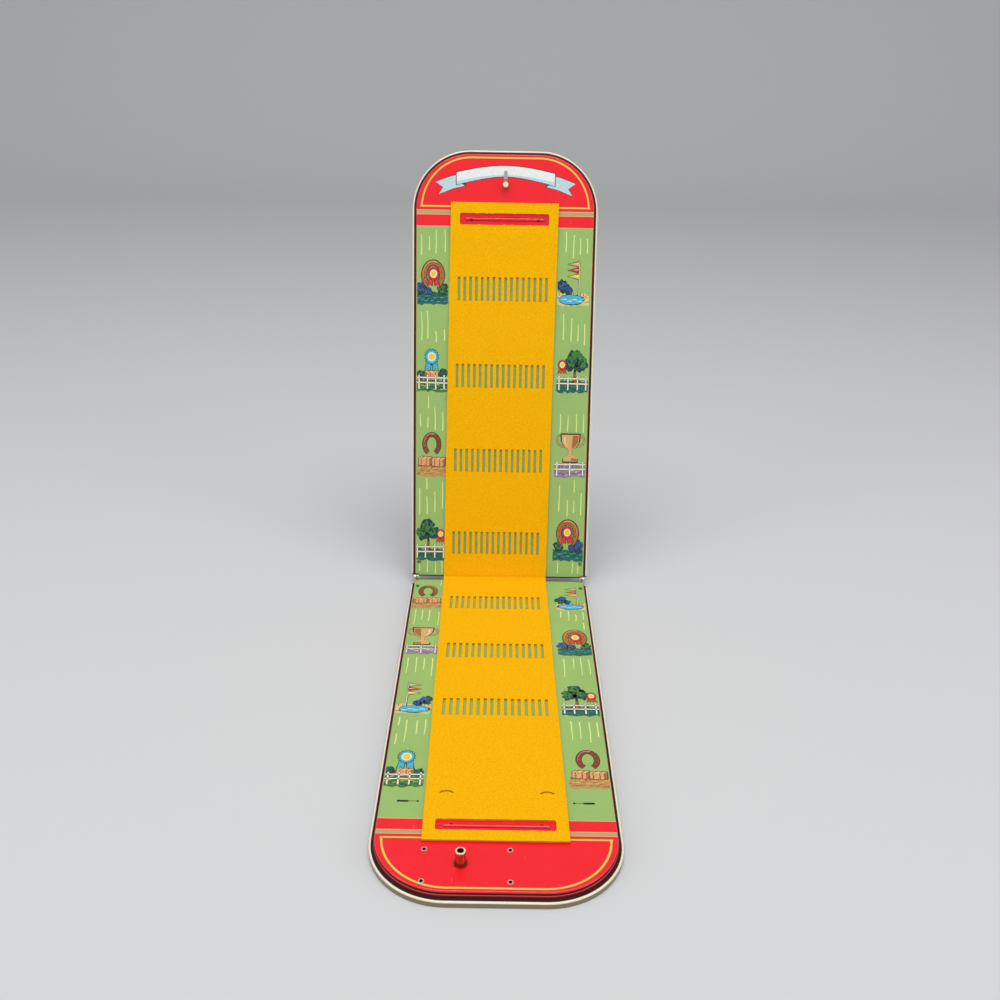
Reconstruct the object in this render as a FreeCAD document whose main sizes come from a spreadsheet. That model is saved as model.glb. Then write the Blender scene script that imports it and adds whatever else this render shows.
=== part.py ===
import FreeCAD, Part
import math
import os
import re
import Sketcher

# Folding tin racing board: two drawn tin halves joined by pivots at their shared end,
# a slotted felt mat laid over both, a cranked star wheel that shakes the mat's bar at the
# start end and a sprung thumb slide that keeps the mat taut at the finish end.
# Everything is drawn with the board open flat: X across, Y along (the start half at
# negative Y, the finish half at positive Y) and Z up, from the middle of the pivot axis.
# The finish half is then swung up about that axis, and the whole is moved so that the
# origin is on the floor in the middle of the footprint.

# Driving sizes, in millimetres and degrees
DRIVING = (
    ("half_length", 355.6, "pivot axis to the outside of a half's round end"),
    ("half_width", 76.2, "centre line to the outside of the long sides"),
    ("end_radius", 47.7, "rounded corners at the far end, on the outside of the rim"),
    ("tin", 0.5, "thickness of the tinplate"),
    ("rim_depth", 8.6, "playing face down to the foot of the rim"),
    ("gutter_drop", 4.7, "playing face down to the gutter"),
    ("gutter_width", 3.1, "outside of the rim in to the lower step"),
    ("step_drop", 2.3, "playing face down to the narrow step"),
    ("step_width", 0.6, "width of the narrow step"),
    ("fold_radius", 0.8, "rounding of the playing face's edge"),
    ("step_bevel", 0.4, "bevel of the step's edge"),
    ("curl_radius", 0.9, "rounding of the rim's top edge"),
    ("hem_height", 2.0, "height of the doubled hem at the foot of the rim"),
    ("pivot_gap", 0.4, "pivot axis to the end of each half"),
    ("pivot_rise", 1.8, "playing face up to the pivot axis"),
    ("swing", 74.35, "how far the finish half is lifted from flat"),
    ("slide_gap", 0.1, "running gap between sliding pieces"),
    ("shaft_gap", 0.05, "running gap round a turning shaft"),
    ("travel_gap", 0.4, "room left past the end of a slide's travel"),
    ("mat_half_width", 44.0, "centre line to the edge of the mat"),
    ("mat_reach", 314.0, "pivot axis to the end of the mat"),
    ("mat_thickness", 1.1, "thickness of the felt mat"),
    ("mat_parting", 0.03, "pivot axis to the mat's crease, per half"),
    ("mat_lay", 3.9, "how far the mat's crease lies to the left of the middle"),
    ("mat_end_lay", 0.3, "how far the mat's ends lie to the left of the middle"),
    ("row_middle", 30.6, "middle row of slits, from the pivot axis"),
    ("row_pitch", 71.4, "from one row of slits to the next"),
    ("slit_pitch", 4.82, "from one slit to the next across the mat"),
    ("slit_count", 16, "slits in a row"),
    ("slit_width", 2.2, "width of a slit"),
    ("slit_length", 19.5, "length of a slit"),
    ("window_half_length", 36.5, "half the length of the window over a bar"),
    ("window_width", 9.3, "width of the window over a bar"),
    ("window_radius", 1.5, "corner radius of the window"),
    ("moon_offset", 31.6, "centre line to the middle of a half-moon cut"),
    ("moon_reach", 270.6, "pivot axis to the crown of a half-moon cut"),
    ("moon_radius", 6.6, "radius of a half-moon cut"),
    ("moon_cut", 0.7, "width of a half-moon cut"),
    ("bar_reach", 300.85, "pivot axis to the middle of a mat bar"),
    ("bar_half_length", 41.5, "half the length of a mat bar over its tabs"),
    ("bar_width", 15.0, "width of a mat bar"),
    ("bar_tin", 0.4, "thickness of a mat bar"),
    ("rib_half_length", 33.0, "half the length of the pressed rib"),
    ("rib_radius", 1.35, "radius of the pressed rib"),
    ("rib_hole_offset", 27.3, "centre line to a hole in the rib"),
    ("rib_hole_radius", 0.6, "radius of a hole in the rib"),
    ("tab_width", 7.0, "width of a bar's bent-down tab"),
    ("tab_clinch", 2.2, "how far a tab is bent over under its slide"),
    ("slide_tin", 0.8, "thickness of the slides under the halves"),
    ("slide_half_length", 44.5, "half the length of a slide's cross bar"),
    ("slide_width", 12.0, "width of a slide's cross bar"),
    ("shake_travel", 1.8, "stroke of the shaking slide"),
    ("slack_travel", 2.7, "stroke of the tension slide"),
    ("crank_offset", 20.5, "centre line to the crank shaft"),
    ("crank_reach", 331.1, "pivot axis to the crank shaft"),
    ("post_height", 10.0, "crank post above the playing face"),
    ("post_radius", 3.0, "crank post"),
    ("post_lip", 0.2, "how far the post's rolled lip stands out"),
    ("socket_radius", 2.05, "bore of the crank socket"),
    ("socket_depth", 9.0, "depth of the crank socket"),
    ("journal_radius", 2.0, "lower end of the crank shaft"),
    ("bush_radius", 3.45, "sleeve of the shaft bush"),
    ("bush_flange", 3.95, "flange of the shaft bush"),
    ("bush_height", 1.2, "height of the bush's flange"),
    ("star_radius", 9.5, "star wheel over its points"),
    ("star_thickness", 1.5, "thickness of the star wheel"),
    ("star_points", 8, "points of the star wheel"),
    ("notch_radius", 2.6, "radius of a notch between two points"),
    ("notch_depth", 2.0, "depth of a notch between two points"),
    ("star_drop", 2.4, "playing face down to the top of the star wheel"),
    ("follower_gap", 0.3, "gap between the star's points and the follower at rest"),
    ("follower_width", 2.0, "width of the follower tongue"),
    ("follower_tin", 1.0, "thickness of the follower tongue"),
    ("stem_half_width", 7.0, "half the width of the shaking slide's stem"),
    ("bridge_left", 42.2, "centre line to the left row of bridge eyelets"),
    ("bridge_right", 8.2, "centre line to the right row of bridge eyelets"),
    ("bridge_near", 320.2, "pivot axis to the nearer row of bridge eyelets"),
    ("bridge_far", 344.8, "pivot axis to the farther row of bridge eyelets"),
    ("bridge_foot", 2.6, "bridge's foot around an eyelet, each way"),
    ("bridge_floor", 5.6, "playing face down to the bridge's floor"),
    ("eyelet_radius", 1.25, "barrel of an eyelet"),
    ("eyelet_hole", 0.85, "bore of an eyelet"),
    ("eyelet_flange", 1.75, "flange of an eyelet"),
    ("eyelet_rim", 0.3, "thickness of an eyelet's flange"),
    ("strap_rivet_offset", 69.5, "centre line to a hinge rivet"),
    ("strap_rivet_reach", 13.2, "pivot axis to a hinge rivet"),
    ("rivet_radius", 1.1, "shank of a hinge rivet"),
    ("rivet_head", 1.65, "head of a hinge rivet"),
    ("rivet_rise", 0.5, "height of a hinge rivet's head"),
    ("strap_tin", 0.8, "thickness of a hinge strap"),
    ("strap_width", 6.0, "width of a hinge strap"),
    ("strap_length", 19.0, "pivot axis to the end of a hinge strap"),
    ("eye_radius", 2.2, "round eye of a hinge strap"),
    ("pivot_radius", 0.9, "shank of a pivot rivet"),
    ("pivot_head", 1.75, "head of a pivot rivet"),
    ("pivot_head_rise", 1.3, "height of a pivot rivet's head"),
    ("thumb_reach", 327.9, "pivot axis to the thumb post"),
    ("thumb_radius", 2.7, "thumb post"),
    ("thumb_neck", 1.35, "neck of the thumb post in its slot"),
    ("thumb_rise", 5.0, "thumb post above the playing face"),
    ("slot_half_width", 1.5, "half the width of the thumb slot"),
    ("slot_far", 339.4, "pivot axis to the far end of the thumb slot"),
    ("slot_lip", 0.9, "width of the slot's pressed lip"),
    ("slot_lip_rise", 0.35, "height of the slot's pressed lip"),
    ("tail_half_width", 5.0, "half the width of the tension slide's tail"),
    ("spring_offset", 23.6, "centre line to the tension spring"),
    ("anchor_reach", 333.0, "pivot axis to the spring's anchor"),
    ("spring_radius", 1.9, "tension spring, to the middle of its wire"),
    ("spring_wire", 0.35, "radius of the spring's wire"),
    ("spring_pitch", 2.3, "from one coil of the spring to the next"),
    ("spring_turns", 5, "coils of the spring"),
    ("spring_drop", 4.3, "playing face down to the middle of the spring"),
    ("hook_tin", 1.0, "thickness of the hook and of the anchor"),
    ("hook_width", 5.0, "width of the hook and of the anchor"),
)

# Sizes that follow from the driving sizes
DECK = "(0 - pivot_rise)"
FOOT = f"({DECK} - rim_depth)"
PLAY_INSET = "(gutter_width + step_width)"
UNDERSIDE = f"({DECK} - tin)"
BAR_LOW = f"({DECK} + slide_gap)"
BAR_TOP = f"({BAR_LOW} + bar_tin)"
MAT_LOW = f"({BAR_TOP} + slide_gap)"
CREASE = f"(mat_parting + max(0; {MAT_LOW} + mat_thickness) * tan(swing / 2))"
SLIDE_TOP = f"({UNDERSIDE} - slide_gap)"
SLIDE_LOW = f"({SLIDE_TOP} - slide_tin)"
TAB_INSIDE = "(bar_half_length - bar_tin)"
STAR_TOP = f"({DECK} - star_drop)"
STAR_LOW = f"({STAR_TOP} - star_thickness)"
BRIDGE_TOP = f"({DECK} - bridge_floor)"
BRIDGE_LOW = f"({BRIDGE_TOP} - slide_tin)"
STRAP_TOP = UNDERSIDE
STRAP_LOW = f"({STRAP_TOP} - strap_tin)"
SPRING_Z = f"({DECK} - spring_drop)"
FOLLOWER_FACE = "(crank_reach + star_radius + follower_gap)"
OUTER_EYE = "(half_width - gutter_width - step_width - tin - slide_gap)"
INNER_EYE = f"({OUTER_EYE} - strap_tin - slide_gap)"
NOTCH_INSIDE = f"({INNER_EYE} - strap_tin - travel_gap)"
START = -1
FINISH = 1

DOC = FreeCAD.newDocument("folding_race_board")
SIZES = DOC.addObject("Spreadsheet::Sheet", "sizes")
for row, (name, size, note) in enumerate(DRIVING, start=1):
    SIZES.set(f"A{row}", name)
    SIZES.set(f"B{row}", str(size))
    SIZES.set(f"C{row}", note)
    SIZES.setAlias(f"B{row}", name)
DOC.recompute()
NAMES = {name for name, size, note in DRIVING}
ALONG_X = FreeCAD.Vector(1, 0, 0)
UP = FreeCAD.Vector(0, 0, 1)


# Expressions and numbers

def sized(expression):
    """Point each named size in an expression at its cell."""
    return re.sub(r"[a-z_]+", lambda word: f"sizes.{word[0]}" if word[0] in NAMES else word[0],
                  expression)


def number(expression):
    """The present value of an expression of named sizes."""
    return float(SIZES.evalExpression(sized(expression)))


def bind(thing, prop, expression):
    thing.setExpression(prop, sized(expression))


def side_of(side, expression):
    """An expression on the start or the finish side of the pivot axis."""
    return f"{side} * ({expression})"


# Placing a sub-part on its half

OVERHANG = "(half_length * cos(swing) + (pivot_rise + rim_depth) * sin(swing))"
BOARD_Y = f"(half_length - {OVERHANG}) / 2"


def carry(thing, half):
    """Stand a sub-part on the floor, swung up with the finish half when it rides there."""
    angle = 1.0 if half == FINISH else 0.0
    thing.Placement = FreeCAD.Placement(FreeCAD.Vector(), FreeCAD.Rotation(ALONG_X, angle))
    bind(thing, "Placement.Base.y", BOARD_Y)
    bind(thing, "Placement.Base.z", "pivot_rise + rim_depth")
    if half == FINISH:
        bind(thing, "Placement.Rotation.Angle", "swing")


def new_body(label, half):
    body = DOC.addObject("PartDesign::Body", label)
    body.Label = label
    carry(body, half)
    return body


# Sketches

def origin_feature(body, role):
    for feature in body.Origin.OriginFeatures:
        if feature.Role == role:
            return feature
    raise ValueError(role)


def sketch_on(body, name, offset, role="XY_Plane"):
    """A sketch on one of the body's origin planes, moved along that plane's normal."""
    sketch = body.newObject("Sketcher::SketchObject", name)
    sketch.AttachmentSupport = [(origin_feature(body, role), "")]
    sketch.MapMode = "FlatFace"
    bind(sketch, "AttachmentOffset.Base.z", offset)
    return sketch


def sketch_on_shaft(body, name, height):
    """A level sketch whose origin is on the crank shaft's axis."""
    sketch = sketch_on(body, name, height)
    bind(sketch, "AttachmentOffset.Base.x", "0 - crank_offset")
    bind(sketch, "AttachmentOffset.Base.y", "0 - crank_reach")
    return sketch


def pin(sketch, geometry, point, axis, expression):
    """Tie one coordinate of a sketch point to an expression."""
    here = number(expression)
    if abs(here) < 1e-9:
        line = -2 if axis == "DistanceX" else -1
        sketch.addConstraint(Sketcher.Constraint("PointOnObject", geometry, point, line))
        return
    if here > 0:
        ends = (-1, 1, geometry, point)
        index = sketch.addConstraint(Sketcher.Constraint(axis, *ends, here))
        bind(sketch, f"Constraints[{index}]", expression)
    else:
        ends = (geometry, point, -1, 1)
        index = sketch.addConstraint(Sketcher.Constraint(axis, *ends, -here))
        bind(sketch, f"Constraints[{index}]", f"0 - ({expression})")


def draw_circle(sketch, x, y, radius):
    centre = FreeCAD.Vector(number(x), number(y), 0)
    geometry = sketch.addGeometry(Part.Circle(centre, UP, number(radius)), False)
    pin(sketch, geometry, 3, "DistanceX", x)
    pin(sketch, geometry, 3, "DistanceY", y)
    index = sketch.addConstraint(Sketcher.Constraint("Radius", geometry, number(radius)))
    bind(sketch, f"Constraints[{index}]", radius)


def draw_polygon(sketch, points):
    """A closed outline through points whose two coordinates are expressions."""
    spots = [FreeCAD.Vector(number(x), number(y), 0) for x, y in points]
    lines = []
    for here, there in zip(spots, spots[1:] + spots[:1]):
        lines.append(sketch.addGeometry(Part.LineSegment(here, there), False))
    for index, line in enumerate(lines):
        before = lines[index - 1]
        sketch.addConstraint(Sketcher.Constraint("Coincident", before, 2, line, 1))
    for line, (x, y) in zip(lines, points):
        pin(sketch, line, 1, "DistanceX", x)
        pin(sketch, line, 1, "DistanceY", y)


def draw_box(sketch, left, right, low, high):
    draw_polygon(sketch, ((left, low), (right, low), (right, high), (left, high)))


def draw_rounded(sketch, corners):
    """A counterclockwise outline of upright and level lines with tangent corner arcs.

    Each corner is (x, y, radius), and a radius of None leaves it sharp."""
    count = len(corners)
    spots = [FreeCAD.Vector(number(x), number(y), 0) for x, y, radius in corners]
    radii = [number(corner[2]) if corner[2] else 0.0 for corner in corners]
    lines = []
    for index in range(count):
        after = (index + 1) % count
        run = spots[after] - spots[index]
        run.normalize()
        start = spots[index] + run * radii[index]
        end = spots[after] - run * radii[after]
        lines.append(sketch.addGeometry(Part.LineSegment(start, end), False))
        level = abs(run.y) < 1e-9
        kind = "Horizontal" if level else "Vertical"
        sketch.addConstraint(Sketcher.Constraint(kind, lines[index]))
        axis = "DistanceY" if level else "DistanceX"
        pin(sketch, lines[index], 1, axis, corners[index][1] if level else corners[index][0])
    for index in range(count):
        before = lines[index - 1]
        here = lines[index]
        if not radii[index]:
            sketch.addConstraint(Sketcher.Constraint("Coincident", before, 2, here, 1))
            continue
        into = sketch.Geometry[before].EndPoint
        out = sketch.Geometry[here].StartPoint
        centre = into + out - spots[index]
        first = math.atan2(into.y - centre.y, into.x - centre.x)
        last = math.atan2(out.y - centre.y, out.x - centre.x)
        if last < first:
            last += 2 * math.pi
        circle = Part.Circle(centre, UP, radii[index])
        arc = sketch.addGeometry(Part.ArcOfCircle(circle, first, last), False)
        sketch.addConstraint(Sketcher.Constraint("Tangent", before, 2, arc, 1))
        sketch.addConstraint(Sketcher.Constraint("Tangent", arc, 2, here, 1))
        radius = sketch.addConstraint(Sketcher.Constraint("Radius", arc, radii[index]))
        bind(sketch, f"Constraints[{radius}]", corners[index][2])


def draw_half_outline(sketch, side, inset, wall="0"):
    """The plan of one half, set in by an inset all round and by a wall at the pivot end."""
    wide = f"half_width - ({inset})"
    far = side_of(side, f"half_length - ({inset})")
    near = side_of(side, f"pivot_gap + {wall}")
    arc = f"end_radius - ({inset})"
    if side == START:
        corners = ((f"0 - ({wide})", far, arc), (wide, far, arc),
                   (wide, near, None), (f"0 - ({wide})", near, None))
    else:
        corners = ((f"0 - ({wide})", near, None), (wide, near, None),
                   (wide, far, arc), (f"0 - ({wide})", far, arc))
    draw_rounded(sketch, corners)


# Features

def pad(body, sketch, length, reverse=False):
    feature = body.newObject("PartDesign::Pad", f"{sketch.Name}_pad")
    feature.Profile = sketch
    feature.Reversed = reverse
    bind(feature, "Length", length)
    DOC.recompute()
    return feature


def pocket(body, sketch, length, reverse=False):
    """Cut a sketch into the body, against its normal unless reversed."""
    before = body.Shape.Volume
    feature = body.newObject("PartDesign::Pocket", f"{sketch.Name}_pocket")
    feature.Profile = sketch
    feature.Reversed = reverse
    bind(feature, "Length", length)
    DOC.recompute()
    if body.Shape.Volume > before - 1e-6:
        raise ValueError(f"{sketch.Name} cuts nothing")
    return feature


def repeat_across(body, feature, span, count):
    """Repeat a cut along X in equal steps."""
    pattern = body.newObject("PartDesign::LinearPattern", f"{feature.Name}_row")
    pattern.Originals = [feature]
    pattern.Direction = (origin_feature(body, "X_Axis"), [""])
    bind(pattern, "Length", span)
    bind(pattern, "Occurrences", count)
    body.Tip = pattern
    DOC.recompute()
    return pattern


def on_outline(point, side, inset):
    """Whether a point lies on the long sides or the round end of a half's plan."""
    wide = number(f"half_width - ({inset})")
    far = number(f"half_length - ({inset})")
    arc = number(f"end_radius - ({inset})")
    x = abs(point.x)
    y = side * point.y
    if y < far - arc:
        return abs(x - wide) < 1e-4
    if x < wide - arc:
        return abs(y - far) < 1e-4
    return abs(math.hypot(x - wide + arc, y - far + arc) - arc) < 1e-4


def soften_edge(body, base, height, side, inset, kind, size):
    """Round or chamfer the edge of a step that runs along a half's sides and round end."""
    names = []
    level = number(height)
    shape = base.Shape
    for index, edge in enumerate(shape.Edges, start=1):
        box = edge.BoundBox
        if abs(box.ZMin - level) > 1e-4 or abs(box.ZMax - level) > 1e-4:
            continue
        middle = edge.valueAt((edge.FirstParameter + edge.LastParameter) / 2)
        if on_outline(middle, side, inset):
            names.append(f"Edge{index}")
    softened = body.newObject(f"PartDesign::{kind}", f"{body.Name}_fold")
    softened.Base = (base, names)
    bind(softened, "Radius" if kind == "Fillet" else "Size", size)
    DOC.recompute()
    return softened


# Primitives, drawn in the flat board's frame

def box_at(name, left, right, low, high, bottom, top):
    box = DOC.addObject("Part::Box", name)
    bind(box, "Length", f"({right}) - ({left})")
    bind(box, "Width", f"({high}) - ({low})")
    bind(box, "Height", f"({top}) - ({bottom})")
    bind(box, "Placement.Base.x", left)
    bind(box, "Placement.Base.y", low)
    bind(box, "Placement.Base.z", bottom)
    return box


def rod_at(name, x, y, bottom, top, radius):
    rod = DOC.addObject("Part::Cylinder", name)
    bind(rod, "Radius", radius)
    bind(rod, "Height", f"({top}) - ({bottom})")
    bind(rod, "Placement.Base.x", x)
    bind(rod, "Placement.Base.y", y)
    bind(rod, "Placement.Base.z", bottom)
    return rod


def cross_rod_at(name, left, right, y, z, radius):
    """A rod lying along X."""
    rod = DOC.addObject("Part::Cylinder", name)
    turn = FreeCAD.Rotation(FreeCAD.Vector(0, 1, 0), 90)
    rod.Placement = FreeCAD.Placement(FreeCAD.Vector(), turn)
    bind(rod, "Radius", radius)
    bind(rod, "Height", f"({right}) - ({left})")
    bind(rod, "Placement.Base.x", left)
    bind(rod, "Placement.Base.y", y)
    bind(rod, "Placement.Base.z", z)
    return rod


def ball_at(name, x, y, z, radius):
    ball = DOC.addObject("Part::Sphere", name)
    bind(ball, "Radius", radius)
    bind(ball, "Placement.Base.x", x)
    bind(ball, "Placement.Base.y", y)
    bind(ball, "Placement.Base.z", z)
    return ball


def join(name, things):
    fused = DOC.addObject("Part::MultiFuse", name)
    fused.Shapes = things
    fused.Refine = True
    return fused


def cut(name, base, tools):
    tool = tools[0] if len(tools) == 1 else join(f"{name}_tools", tools)
    result = DOC.addObject("Part::Cut", name)
    result.Base = base
    result.Tool = tool
    result.Refine = True
    return result


def group(name, things):
    """Separate solids kept side by side in one sub-part."""
    compound = DOC.addObject("Part::Compound", name)
    compound.Links = things
    return compound


def finish_part(thing, label, half):
    thing.Label = label
    carry(thing, half)
    return thing


PARTS = []


# Drawn tin halves: a raised playing face, a narrow step, a gutter and a hemmed rim

def build_pan(label, side):
    body = new_body(label, side)
    rim = sketch_on(body, f"{label}_rim", FOOT)
    draw_half_outline(rim, side, "0")
    pad(body, rim, "rim_depth - gutter_drop")
    step = sketch_on(body, f"{label}_step", f"{DECK} - gutter_drop")
    draw_half_outline(step, side, "gutter_width")
    pad(body, step, "gutter_drop - step_drop")
    face = sketch_on(body, f"{label}_face", f"{DECK} - step_drop")
    draw_half_outline(face, side, PLAY_INSET)
    last = pad(body, face, "step_drop")
    last = soften_edge(body, last, DECK, side, PLAY_INSET, "Fillet", "fold_radius")
    last = soften_edge(body, last, f"{DECK} - step_drop", side, "gutter_width", "Chamfer",
                       "step_bevel")
    soften_edge(body, last, f"{DECK} - gutter_drop", side, "0", "Fillet", "curl_radius")
    hem = sketch_on(body, f"{label}_hem", FOOT)
    draw_half_outline(hem, side, "2 * tin", "2 * tin")
    pocket(body, hem, "hem_height", reverse=True)
    skirt = sketch_on(body, f"{label}_skirt", f"{FOOT} + hem_height")
    draw_half_outline(skirt, side, "tin", "tin")
    pocket(body, skirt, "rim_depth - gutter_drop - hem_height - tin", reverse=True)
    inner = sketch_on(body, f"{label}_inner", f"{DECK} - gutter_drop - tin")
    draw_half_outline(inner, side, "gutter_width + tin", "tin")
    pocket(body, inner, "gutter_drop - step_drop", reverse=True)
    crown = sketch_on(body, f"{label}_crown", f"{DECK} - step_drop - tin")
    draw_half_outline(crown, side, f"{PLAY_INSET} + tin", "tin")
    pocket(body, crown, "step_drop", reverse=True)
    return body


def notch_pan(body, label, side):
    """Corner notches for the hinge eyes, and the holes for the strap rivets."""
    notches = sketch_on(body, f"{label}_notches", f"{DECK} - step_drop + tin")
    reach = side_of(side, "eye_radius + travel_gap")
    near = side_of(side, "0 - pivot_gap")
    low, high = (reach, near) if side == START else (near, reach)
    outside = "half_width - gutter_width + step_width"
    draw_box(notches, NOTCH_INSIDE, outside, low, high)
    draw_box(notches, f"0 - ({outside})", f"0 - {NOTCH_INSIDE}", low, high)
    pocket(body, notches, "step_drop", reverse=True)
    holes = sketch_on(body, f"{label}_rivet_holes", UNDERSIDE)
    for sign in ("", "0 - "):
        draw_circle(holes, f"{sign}strap_rivet_offset", side_of(side, "strap_rivet_reach"),
                    "rivet_radius")
    pocket(body, holes, "tin", reverse=True)


def slot_pan_for_bar(body, label, side, before, after):
    """Short slots that the two tabs of a mat bar slide in."""
    slots = sketch_on(body, f"{label}_tab_slots", UNDERSIDE)
    ends = (side_of(side, f"bar_reach - tab_width / 2 - travel_gap - {before}"),
            side_of(side, f"bar_reach + tab_width / 2 + travel_gap + {after}"))
    low, high = (ends[1], ends[0]) if side == START else ends
    left = f"{TAB_INSIDE} - travel_gap"
    right = "bar_half_length + travel_gap"
    draw_box(slots, left, right, low, high)
    draw_box(slots, f"0 - ({right})", f"0 - ({left})", low, high)
    pocket(body, slots, "tin", reverse=True)


start_panel = build_pan("start_panel", START)
notch_pan(start_panel, "start", START)
slot_pan_for_bar(start_panel, "start", START, "shake_travel", "0")
start_holes = sketch_on(start_panel, "start_holes", UNDERSIDE)
draw_circle(start_holes, "0 - crank_offset", "0 - crank_reach", "bush_radius")
for eyelet_x in ("0 - bridge_left", "bridge_right"):
    for eyelet_y in ("0 - bridge_near", "0 - bridge_far"):
        draw_circle(start_holes, eyelet_x, eyelet_y, "eyelet_radius")
pocket(start_panel, start_holes, "tin", reverse=True)
PARTS.append(start_panel)

finish_panel = build_pan("finish_panel", FINISH)
notch_pan(finish_panel, "finish", FINISH)
slot_pan_for_bar(finish_panel, "finish", FINISH, "0", "slack_travel")


# Thumb slot of the finish half, with a lip pressed up round it

def draw_slot(sketch, grow):
    half = f"slot_half_width + {grow}"
    low = f"thumb_reach - thumb_neck - slide_gap - {grow}"
    high = f"slot_far + {grow}"
    bend = f"(slot_half_width + {grow}) * 0.98"
    draw_rounded(sketch, ((f"0 - ({half})", low, bend), (half, low, bend),
                          (half, high, bend), (f"0 - ({half})", high, bend)))


lip = sketch_on(finish_panel, "slot_lip_outline", DECK)
draw_slot(lip, "slot_lip")
pad(finish_panel, lip, "slot_lip_rise")
thumb_slot = sketch_on(finish_panel, "thumb_slot", UNDERSIDE)
draw_slot(thumb_slot, "0")
pocket(finish_panel, thumb_slot, "tin + slot_lip_rise", reverse=True)
PARTS.append(finish_panel)


# Felt mat, in its two halves either side of the crease

def mat_shift(reach):
    """How far left of the middle the mat lies at a distance from the pivot axis."""
    return f"(0 - mat_lay + (mat_lay - mat_end_lay) * ({reach}) / mat_reach)"


def build_mat(label, side, rows):
    body = new_body(label, side)
    plan = sketch_on(body, f"{label}_plan", MAT_LOW)
    crease = side_of(side, CREASE)
    far = side_of(side, "mat_reach")
    corners = [(f"0 - mat_half_width + {mat_shift('0')}", crease),
               (f"mat_half_width + {mat_shift('0')}", crease),
               (f"mat_half_width + {mat_shift('mat_reach')}", far),
               (f"0 - mat_half_width + {mat_shift('mat_reach')}", far)]
    draw_polygon(plan, corners)
    pad(body, plan, "mat_thickness")
    window = sketch_on(body, f"{label}_window", MAT_LOW)
    left = f"0 - window_half_length + {mat_shift('bar_reach')}"
    right = f"window_half_length + {mat_shift('bar_reach')}"
    ends = (side_of(side, "bar_reach - window_width / 2"),
            side_of(side, "bar_reach + window_width / 2"))
    low, high = (ends[1], ends[0]) if side == START else ends
    draw_rounded(window, ((left, low, "window_radius"), (right, low, "window_radius"),
                          (right, high, "window_radius"), (left, high, "window_radius")))
    pocket(body, window, "mat_thickness", reverse=True)
    for number_in_half, reach in enumerate(rows):
        slit = sketch_on(body, f"{label}_slit{number_in_half}", MAT_LOW)
        middle = side_of(side, reach)
        first = f"{mat_shift(reach)} - slit_pitch * (slit_count - 1) / 2"
        draw_box(slit, f"{first} - slit_width / 2", f"{first} + slit_width / 2",
                 f"{middle} - slit_length / 2", f"{middle} + slit_length / 2")
        one = pocket(body, slit, "mat_thickness", reverse=True)
        repeat_across(body, one, "slit_pitch * (slit_count - 1)", "slit_count")
    return body


def draw_half_moon(sketch, x, crown):
    """A curved cut of even width, bulging towards the pivot."""
    inner = "moon_radius - moon_cut"
    centre = f"{crown} - moon_radius"
    spot = FreeCAD.Vector(number(x), number(centre), 0)
    first, last = math.radians(46), math.radians(134)
    big = Part.ArcOfCircle(Part.Circle(spot, UP, number("moon_radius")), first, last)
    small = Part.ArcOfCircle(Part.Circle(spot, UP, number(inner)), first, last)
    arcs = [sketch.addGeometry(arc, False) for arc in (big, small)]
    ends = (Part.LineSegment(big.StartPoint, small.StartPoint),
            Part.LineSegment(small.EndPoint, big.EndPoint))
    lines = [sketch.addGeometry(line, False) for line in ends]
    for arc, radius in zip(arcs, ("moon_radius", inner)):
        pin(sketch, arc, 3, "DistanceX", x)
        pin(sketch, arc, 3, "DistanceY", centre)
        index = sketch.addConstraint(Sketcher.Constraint("Radius", arc, number(radius)))
        bind(sketch, f"Constraints[{index}]", radius)
    for here, there in (((arcs[0], 1), (lines[0], 1)), ((lines[0], 2), (arcs[1], 1)),
                        ((arcs[1], 2), (lines[1], 1)), ((lines[1], 2), (arcs[0], 2))):
        sketch.addConstraint(Sketcher.Constraint("Coincident", *here, *there))
    for line, angle in zip(lines, (first + math.pi, last)):
        sketch.addConstraint(Sketcher.Constraint("Angle", line, angle))


START_ROWS = [f"(row_pitch * {step} - row_middle)" for step in (1, 2, 3)]
FINISH_ROWS = [f"(row_pitch * {step} + row_middle)" for step in (0, 1, 2, 3)]
mat_start = build_mat("mat_start", START, START_ROWS)
moons = sketch_on(mat_start, "half_moons", MAT_LOW)
for moon_x in ("0 - moon_offset", "moon_offset"):
    draw_half_moon(moons, moon_x, "0 - moon_reach")
pocket(mat_start, moons, "mat_thickness", reverse=True)
PARTS.append(mat_start)
PARTS.append(build_mat("mat_finish", FINISH, FINISH_ROWS))


# Mat bars: a strip with a hollow pressed rib, and a tab bent down at each end

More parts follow.
